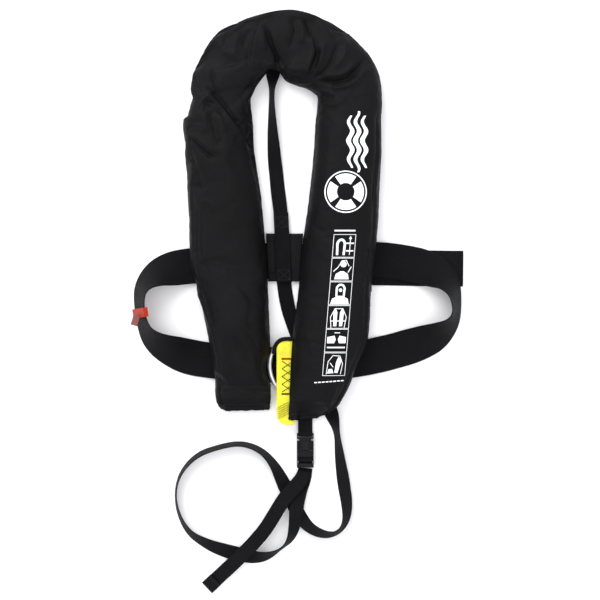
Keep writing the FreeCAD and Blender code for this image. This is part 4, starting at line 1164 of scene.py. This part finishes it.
def make_strop():
    """Folded yellow webbing with a rounded lower end and ribs where it bends."""
    stations = np.linspace(STROP_TOP, STROP_LOW, 96)
    share = np.array([-1, -0.985, -0.93, -0.8, -0.6, -0.4, -0.2, 0, 0.2, 0.4, 0.6, 0.8, 0.93, 0.985, 1.0])
    upper = []
    for y in stations:
        near = min(1.0, (STROP_TOP - y) / 11.0)
        near = math.sqrt(max(0.0, 1 - (1 - near) ** 2))
        far = max(0.0, (-252 - y) / 18.0)
        pull = 13.0 * (1 - math.sqrt(max(0.0, 1 - min(far, 0.999) ** 2.3)))
        x0 = STROP_LEFT + 9.0 * (1 - near) + pull
        x1 = STROP_RIGHT - 4.0 * (1 - near) - pull * 0.35
        thick = 1 - 0.35 * (1 - near) - 0.3 * smooth_step(far)
        for s in share:
            x = (x0 + x1) / 2 + (x1 - x0) / 2 * s
            rise = (STROP_FACE - STROP_BASE) / 2 * thick * (1 - 0.65 * abs(s) ** 12)
            bent = math.exp(-((y + 250) / 11) ** 2) * math.exp(-((x + 22) / 9) ** 2)
            ribs = 0.75 * bent * math.sin((y - 0.55 * (x + 22)) * math.tau / 3.1)
            upper.append((x, y, (STROP_BASE + STROP_FACE) / 2 + rise + ribs))
    count = len(share)
    lower = [(x, y, STROP_BASE + (0.4 if k % count in (0, count - 1) else 0))
             for k, (x, y, _) in enumerate(upper)]
    return closed_slab("strop", upper, lower, len(stations), count)


finish_piece(make_strop(), "yellow", replaces=["lifting_strop"])
STITCH_HEIGHT = 16.95
zig = [flat_path(zigzag(*ends, -181.0, -224.0, 4), STITCH_HEIGHT) for ends in ((-21.4, -5.4), (-5.4, -21.4))]
finish_piece(thread_mesh("strop_zigzag", zig, 0.62 * MM, 2.7 * MM, 0.97), "dark_thread")


def bartack(name, y, depth, radius, look, replaces=()):
    """A dense zigzag bar across the strop, from x -22 to -4: threads side by side."""
    turns = zigzag(y - depth / 2, y + depth / 2, -22.0, -4.0, int(18.0 / 0.42))
    path = flat_path([(across, along) for along, across in turns], STITCH_HEIGHT)
    bar = thread_mesh(name, [path], radius * MM, depth * MM, 0.97)
    finish_piece(bar, look, replaces=replaces)


bartack("strop_tack_red", -177.8, 3.4, 0.34, "red_thread", ["strop_bartacks"])
bartack("strop_tack_dark", -226.8, 3.0, 0.3, "dark_thread")
# Thin olive lines along the ribs where the strop bends: painted shade in the rib grooves, drawn as threads.
fold_shade_lines = []
for k in range(6):
    y = -243.0 - 3.1 * k
    fold_shade_lines.append(([(x * MM, (y + 0.5 * (x + 22)) * MM, (17.4 - 0.002 * (x + 22) ** 2) * MM)
                   for x in np.linspace(-28.0 + 0.25 * k, -12.0, 9)], (0, 0, 1)))
finish_piece(thread_mesh("strop_fold_shade", fold_shade_lines, 0.42 * MM, 2.2 * MM, 0.98), "painted_fold_shade")
# A black band round the top of the strop: painted dark reflection of the ring's upper side, built as a strip
# of webbing.
RING_REFLECTION_LINE = [(-33, -171, 13.6), (-31.5, -160, 15.6), (-25, -151.6, 16.8), (-14, -149.4, 17.2),
             (-5, -150.6, 16.6)]
arc = nurbs_points([(x * MM, y * MM, z * MM) for x, y, z in RING_REFLECTION_LINE], 10)
ring_reflection_band, _ = webbing_piece("ring_dark_reflection", arc, np.zeros(len(arc)), 5.8, 1.5, 0.2, 8.0, 0.5)
finish_piece(ring_reflection_band, "binding")


# The belt's end goes round the ring's straight bar.
BAR_X, BAR_Z, BAR_RADIUS = -10.0, 7.25, 3.25
WRAP_RADIUS = BAR_RADIUS + 0.4 + BELT_THICK / 2
wrap_line = [(-37, 2.2), (-31, 2.5), (-20, BAR_Z - WRAP_RADIUS)]
wrap_line += [(BAR_X + WRAP_RADIUS * 1.12 * math.cos(a), BAR_Z + WRAP_RADIUS * 1.12 * math.sin(a))
              for a in (k * math.pi / 4 for k in range(-2, 3))]
wrap_line += [(BAR_X - 4.4, BAR_Z + WRAP_RADIUS - 0.8), (-19.5, 4.6), (-23.4, 4.5)]


def upright_band(name, profile, y0, y1, thick):
    """Webbing bent in the upright plane along x: the profile's points are (x, z)."""
    obj = side_band(name, profile, y0, y1, thick)
    for v in obj.data.vertices:
        v.co = (v.co.y, v.co.x, v.co.z)
    obj.data.flip_normals()
    return obj


ring_wrap = upright_band("ring_belt_end", wrap_line, -211.5, -162.5, BELT_THICK)
finish_piece(ring_wrap, "belt", replaces=["ring_loop"])


# ------------------------------------------------------------------ hard parts
HARD = {
    "ring": ["d_ring"],
    "steel": ["belt_hook", "lever_pin", "piercing_pin", "pin_spring", "oral_valve_spring"],
    "plastic": ["belt_adjuster", "buckle_socket", "buckle_plug", "buckle_prong_left", "buckle_prong_right",
                "oral_valve_housing"],
    "red": ["belt_keeper", "pull_bead", "oral_valve_stem", "oral_cap"],
    "white": ["inflator_body", "firing_lever"],
    "amber": ["sensor_cap", "whistle"],
    "cylinder": ["co2_cylinder"],
    "brass": ["manifold", "manifold_nut"],
    "rubber": ["manifold_gasket", "oral_tube_foot", "oral_tube"],
}
ROUND_NODES = ("d_ring", "pull_bead", "pin_spring")
BEVELS = {"buckle_socket": 0.9, "buckle_plug": 0.8, "belt_adjuster": 0.6, "belt_hook": 0.5,
          "belt_keeper": 0.7, "inflator_body": 0.8, "whistle": 0.8, "firing_lever": 0.7}


def add_bevel(obj, width, segments):
    bevel = obj.modifiers.new("bevel", "BEVEL")
    bevel.width = width * MM
    bevel.segments = segments
    bevel.limit_method = "ANGLE"
    bevel.angle_limit = math.radians(40)
    bevel.harden_normals = False


for look, nodes in HARD.items():
    for node in nodes:
        obj = NODES[node]
        obj.data.materials.clear()
        obj.data.materials.append(M[look])
        if node in ROUND_NODES:
            obj.data.polygons.foreach_set("use_smooth", [True] * len(obj.data.polygons))
        else:
            add_bevel(obj, BEVELS.get(node, 0.35), 3)


def rounded_block(name, x0, x1, y0, y1, z0, z1, radius, turn=0.0):
    """A moulded block with rounded edges, turned in the plane about its middle."""
    work = bmesh.new()
    bmesh.ops.create_cube(work, size=1)
    cx, cy = (x0 + x1) / 2, (y0 + y1) / 2
    for v in work.verts:
        v.co = Vector((v.co.x * (x1 - x0), v.co.y * (y1 - y0), (z0 + z1) / 2 + v.co.z * (z1 - z0)))
    bmesh.ops.bevel(work, geom=list(work.edges), offset=radius, segments=3, profile=0.6, affect="EDGES")
    c, s = math.cos(turn), math.sin(turn)
    for v in work.verts:
        x, y = v.co.x, v.co.y
        v.co = Vector((cx + x * c - y * s, cy + x * s + y * c, v.co.z)) * MM
    mesh = bpy.data.meshes.new(name)
    work.to_mesh(mesh)
    work.free()
    for f in mesh.polygons:
        f.use_smooth = len(f.vertices) != 4 or f.area < 6e-6
    return linked(name, mesh)


# Details moulded on the buckle: the plug's shroud, end bar and grip, the socket's spine and rib.
for name, box, radius, body in (
        ("plug_shroud", (-0.2, 22.2, -314.8, -306.7, 8.55, 10.3), 0.7, "strap_plug"),
        ("plug_end_bar", (-0.7, 22.7, -329.8, -324.2, 9.2, 10.0), 0.35, "strap_plug"),
        ("plug_grip_0", (3.0, 19.0, -311.65, -310.75, 10.0, 10.7), 0.25, "strap_plug"),
        ("plug_grip_1", (3.0, 19.0, -309.85, -308.95, 10.0, 10.7), 0.25, "strap_plug"),
        ("socket_spine", (6.4, 15.6, -304.8, -293.4, 9.2, 10.1), 0.4, "jacket"),
        ("socket_bar_rib", (0.2, 21.8, -289.0, -287.2, 7.6, 8.4), 0.35, "jacket")):
    finish_piece(rounded_block(name, *box, radius), "plastic", body)


def socket_shell():
    """The socket with an open window over each prong."""
    obj = linked("socket_shell", NODES["buckle_socket"].data.copy())
    cutters = []
    for k, (x0, x1) in enumerate(((0.6, 5.2), (16.8, 21.4))):
        cutter = rounded_block("window_%d" % k, x0, x1, -303.4, -293.8, 5.5, 14.0, 1.2)
        cut = obj.modifiers.new("cut", "BOOLEAN")
        cut.operation = "DIFFERENCE"
        cut.solver = "EXACT"
        cut.object = cutter
        cutters.append(cutter)
    add_bevel(obj, 0.6, 2)
    applied(obj)
    for cutter in cutters:
        bpy.data.objects.remove(cutter)
    return obj


finish_piece(socket_shell(), "plastic", "jacket", ["buckle_socket"])

# The keeper's pale back flap, standing out under the moulded loop.
flap = rounded_block("keeper_flap", -229.0, -219.5, -131.5, -115.5, 29.0, 32.0, 0.8, -0.3)
finish_piece(flap, "flap", "keeper")


# ------------------------------------------------------------------ white prints on the cover
class Print:
    """Flat shapes in the plane, cut into small faces and laid on the cover."""

    def __init__(self):
        self.work = bmesh.new()

    def fill(self, points):
        verts = [self.work.verts.new((x, y, 0)) for x, y in points]
        self.work.faces.new(verts)

    def stroke(self, points, width, closed=False):
        p = [Vector(q) for q in points]
        if closed:
            p = p + p[:1]
        for a, b in zip(p, p[1:]):
            d = (b - a)
            if d.length < 1e-6:
                continue
            d.normalize()
            n = Vector((-d.y, d.x)) * width / 2
            a2, b2 = a - d * width * 0.42, b + d * width * 0.42
            self.fill([a2 + n, a2 - n, b2 - n, b2 + n])

    def disc(self, x, y, radius, sides=20):
        self.fill([(x + radius * math.cos(math.tau * k / sides), y + radius * math.sin(math.tau * k / sides))
                   for k in range(sides)])

    def arc(self, x, y, radius, width, start=0.0, end=360.0, steps=24):
        spots = [math.radians(start + (end - start) * k / steps) for k in range(steps + 1)]
        for a, b in zip(spots, spots[1:]):
            self.fill([(x + r * math.cos(t), y + r * math.sin(t))
                       for r, t in ((radius - width / 2, a), (radius + width / 2, a),
                                    (radius + width / 2, b), (radius - width / 2, b))])

    def place(self, name, proud=0.35):
        work = self.work
        bmesh.ops.triangulate(work, faces=work.faces)
        for _ in range(5):
            long = [e for e in work.edges if e.calc_length() > 2.6]
            if not long:
                break
            bmesh.ops.subdivide_edges(work, edges=long, cuts=1)
            bmesh.ops.triangulate(work, faces=work.faces)
        spots, normals = drape([(v.co.x, v.co.y) for v in work.verts], proud)
        for v, p in zip(work.verts, spots):
            v.co = p
        for f in work.faces:
            f.smooth = True
            if f.normal.z < 0:
                f.normal_flip()
        mesh = bpy.data.meshes.new(name)
        work.to_mesh(mesh)
        work.free()
        finish_piece(linked(name, mesh), "print")


# A lifebuoy with four bands, and three rolling waves beside it along the lobe.
BUOY = (66.5, 53.0)
BUOY_RADIUS, BUOY_BAND = 18.6, 13.0
emblem = Print()
for quarter in range(4):
    emblem.arc(*BUOY, BUOY_RADIUS, BUOY_BAND, 45 + 90 * quarter + 10, 135 + 90 * quarter - 10, 14)
emblem.arc(*BUOY, BUOY_RADIUS + BUOY_BAND / 2 + 3.2, 1.6, 0, 360, 48)
WAVE_STEPS = 44
for middle, y0, y1 in ((73.0, 86, 158), (82.5, 80, 164), (92.0, 86, 158)):
    crest = []
    for share in (j / WAVE_STEPS for j in range(WAVE_STEPS + 1)):
        y = y0 + (y1 - y0) * share
        crest.append((middle + 2.6 * math.sin(y * math.tau / 26.0), y, 1.4 + 1.9 * math.sin(math.pi * share)))
    for (xa, ya, a), (xb, yb, b) in zip(crest, crest[1:]):
        emblem.fill([(xa - a, ya), (xa + a, ya), (xb + b, yb), (xb - b, yb)])
emblem.place("print_emblem")

# Six framed pictures of how the jacket goes on, down the lobe.
STRIP_TOP = ((50.5, -5.5), (80.5, -5.5))
STRIP_FOOT = ((34.6, -201.0), (65.0, -201.0))
PANELS = 6


def strip_point(panel, s, t):
    """A place in one picture: s across from left, t up from its lower edge, both 0 to 1."""
    share = (panel + 1 - t) / PANELS
    left = Vector(STRIP_TOP[0]).lerp(Vector(STRIP_FOOT[0]), share)
    right = Vector(STRIP_TOP[1]).lerp(Vector(STRIP_FOOT[1]), share)
    return left.lerp(right, s)


strip = Print()
for k in range(PANELS):
    strip.stroke([strip_point(k, s, t) for s, t in ((0, 0.03), (1, 0.03), (1, 0.99), (0, 0.99))], 0.62, True)


def draw(panel, points, width=1.5, closed=False):
    strip.stroke([strip_point(panel, s, t) for s, t in points], width * 0.72, closed)


def paint(panel, points):
    strip.fill([strip_point(panel, s, t) for s, t in points])


def round_mark(panel, s, t, radius):
    spot = strip_point(panel, s, t)
    strip.disc(spot.x, spot.y, radius)


def horseshoe(panel, s, t, wide, tall, thick):
    """The jacket's own outline: two lobes joined round the neck."""
    left, right = s - wide / 2, s + wide / 2
    neck = [(s - wide / 2 * math.cos(a), t + tall * 0.62 + 0.30 * tall * math.sin(a))
            for a in [math.pi * q / 8 for q in range(9)]]
    draw(panel, [(left + 0.02, t)] + neck + [(right - 0.02, t)], thick)


def shoulders(panel, s, t, wide):
    paint(panel, [(s - wide / 2, t), (s + wide / 2, t), (s + wide * 0.42, t + 0.22), (s + 0.08, t + 0.34),
                  (s - 0.08, t + 0.34), (s - wide * 0.42, t + 0.22)])


horseshoe(0, 0.36, 0.16, 0.34, 0.66, 4.2)
draw(0, [(0.62, 0.30), (0.92, 0.30)], 2.4)
draw(0, [(0.62, 0.62), (0.92, 0.62)], 2.4)
draw(0, [(0.77, 0.14), (0.77, 0.80)], 1.2)
paint(0, [(0.70, 0.80), (0.84, 0.80), (0.77, 0.93)])
round_mark(1, 0.54, 0.74, 4.3)
draw(1, [(0.30, 0.60), (0.46, 0.88), (0.66, 0.90), (0.80, 0.66)], 1.2)
shoulders(1, 0.50, 0.10, 0.66)
draw(1, [(0.12, 0.44), (0.30, 0.60)], 1.6)
draw(1, [(0.78, 0.40), (0.90, 0.62)], 1.6)
horseshoe(2, 0.5, 0.30, 0.36, 0.62, 3.6)
round_mark(2, 0.5, 0.64, 2.4)
shoulders(2, 0.5, 0.06, 0.84)
draw(3, [(0.20, 0.06), (0.14, 0.50), (0.32, 0.86), (0.68, 0.86), (0.86, 0.50), (0.80, 0.06)], 1.2)
paint(3, [(0.30, 0.12), (0.44, 0.12), (0.44, 0.70), (0.36, 0.86), (0.26, 0.74)])
paint(3, [(0.56, 0.12), (0.70, 0.12), (0.74, 0.74), (0.64, 0.86), (0.56, 0.70)])
draw(3, [(0.18, 0.34), (0.82, 0.34)], 1.6)
paint(4, [(0.08, 0.40), (0.40, 0.40), (0.46, 0.56), (0.40, 0.72), (0.08, 0.66)])
paint(4, [(0.92, 0.40), (0.62, 0.40), (0.56, 0.56), (0.62, 0.72), (0.92, 0.66)])
draw(4, [(0.12, 0.22), (0.88, 0.22)], 2.6)
draw(4, [(0.40, 0.84), (0.62, 0.84)], 1.4)
draw(5, [(0.16, 0.10), (0.20, 0.62), (0.40, 0.88), (0.72, 0.86), (0.86, 0.52), (0.80, 0.10)], 1.2)
paint(5, [(0.52, 0.16), (0.66, 0.14), (0.80, 0.66), (0.66, 0.84), (0.56, 0.60)])
paint(5, [(0.20, 0.12), (0.48, 0.14), (0.40, 0.32), (0.24, 0.30)])
draw(5, [(0.30, 0.56), (0.44, 0.40)], 1.4)
strip.place("print_pictures")

# Short bars above and below the pictures, where small print would be.
bars = Print()
bars.stroke([(52, -0.5), (79, -0.5)], 2.0)
for k in range(8):
    x = 24.0 + 5.2 * k
    bars.stroke([(x, -209.8 + 0.07 * (x - 24)), (x + 2.6, -209.6 + 0.07 * (x - 24))], 1.5)
bars.place("print_bars")


# ------------------------------------------------------------------ stitching on the cover
def stitched(name, lines, pitch=3.2, radius=0.3):
    paths = []
    for line in lines:
        spots, normals = drape(line, 0.1)
        for a in range(0, len(spots) - 1):
            paths.append((spots[a:a + 2], normals[a]))
    return finish_piece(thread_mesh(name, paths, radius * MM, pitch * MM, 0.7), "thread")


def hem_line(section, shift, number=26):
    """A line across one end of the cover, inside its hem."""
    outer, inner = (np.array(p, float) for p in SECTIONS[section][:2])
    return [outer + (inner - outer) * s + (0, shift) for s in np.linspace(0.05, 0.95, number)]


closure_lines = []
for inset, first, last in ((8.6, 0.66, 0.985), (6.6, 0.03, 0.20)):
    line, share = inside_edge(inset)
    closure_lines.append(line[(share >= first) & (share <= last)])
stitched("cover_stitches", closure_lines)
stitched("hem_stitches", [hem_line(0, 8.6), hem_line(30, 8.6)])


# ------------------------------------------------------------------ floor and light
FLOOR_HALF, FLOOR_Z = 6, -0.0004
WORLD_LIGHT = 1.36
LAMPS = [("key", (-1.1, 1.8, 1.9), 2.2, 58), ("fill", (1.2, -0.6, 2.8), 1.6, 10)]
LAMP_AIM = Vector((0, -0.1, 0))


def stage_and_light():
    """A pale floor, an even white sky and two soft lamps."""
    corners = [(x * FLOOR_HALF, y * FLOOR_HALF, FLOOR_Z) for x, y in ((-1, -1), (1, -1), (1, 1), (-1, 1))]
    floor = mesh_piece("floor", corners, [(0, 1, 2, 3)])
    look = Look("floor_white", (0.93, 0.925, 0.935), 0.9, shine=0.1)
    look.tint(look.noise(look.where(), 3), 0.995, 1.0)
    floor.data.materials.append(look.mat)
    world = bpy.data.worlds.new("studio")
    world.use_nodes = True
    sky = world.node_tree.nodes["Background"]
    sky.inputs["Color"].default_value = (0.97, 0.975, 1.0, 1)
    sky.inputs["Strength"].default_value = WORLD_LIGHT
    SCENE.world = world
    for name, place, size, power in LAMPS:
        data = bpy.data.lights.new(name, "AREA")
        data.shape = "DISK"
        data.size = size
        data.energy = power
        lamp = linked(name, data)
        lamp.location = place
        lamp.rotation_euler = (LAMP_AIM - Vector(place)).to_track_quat("-Z", "Y").to_euler()


stage_and_light()
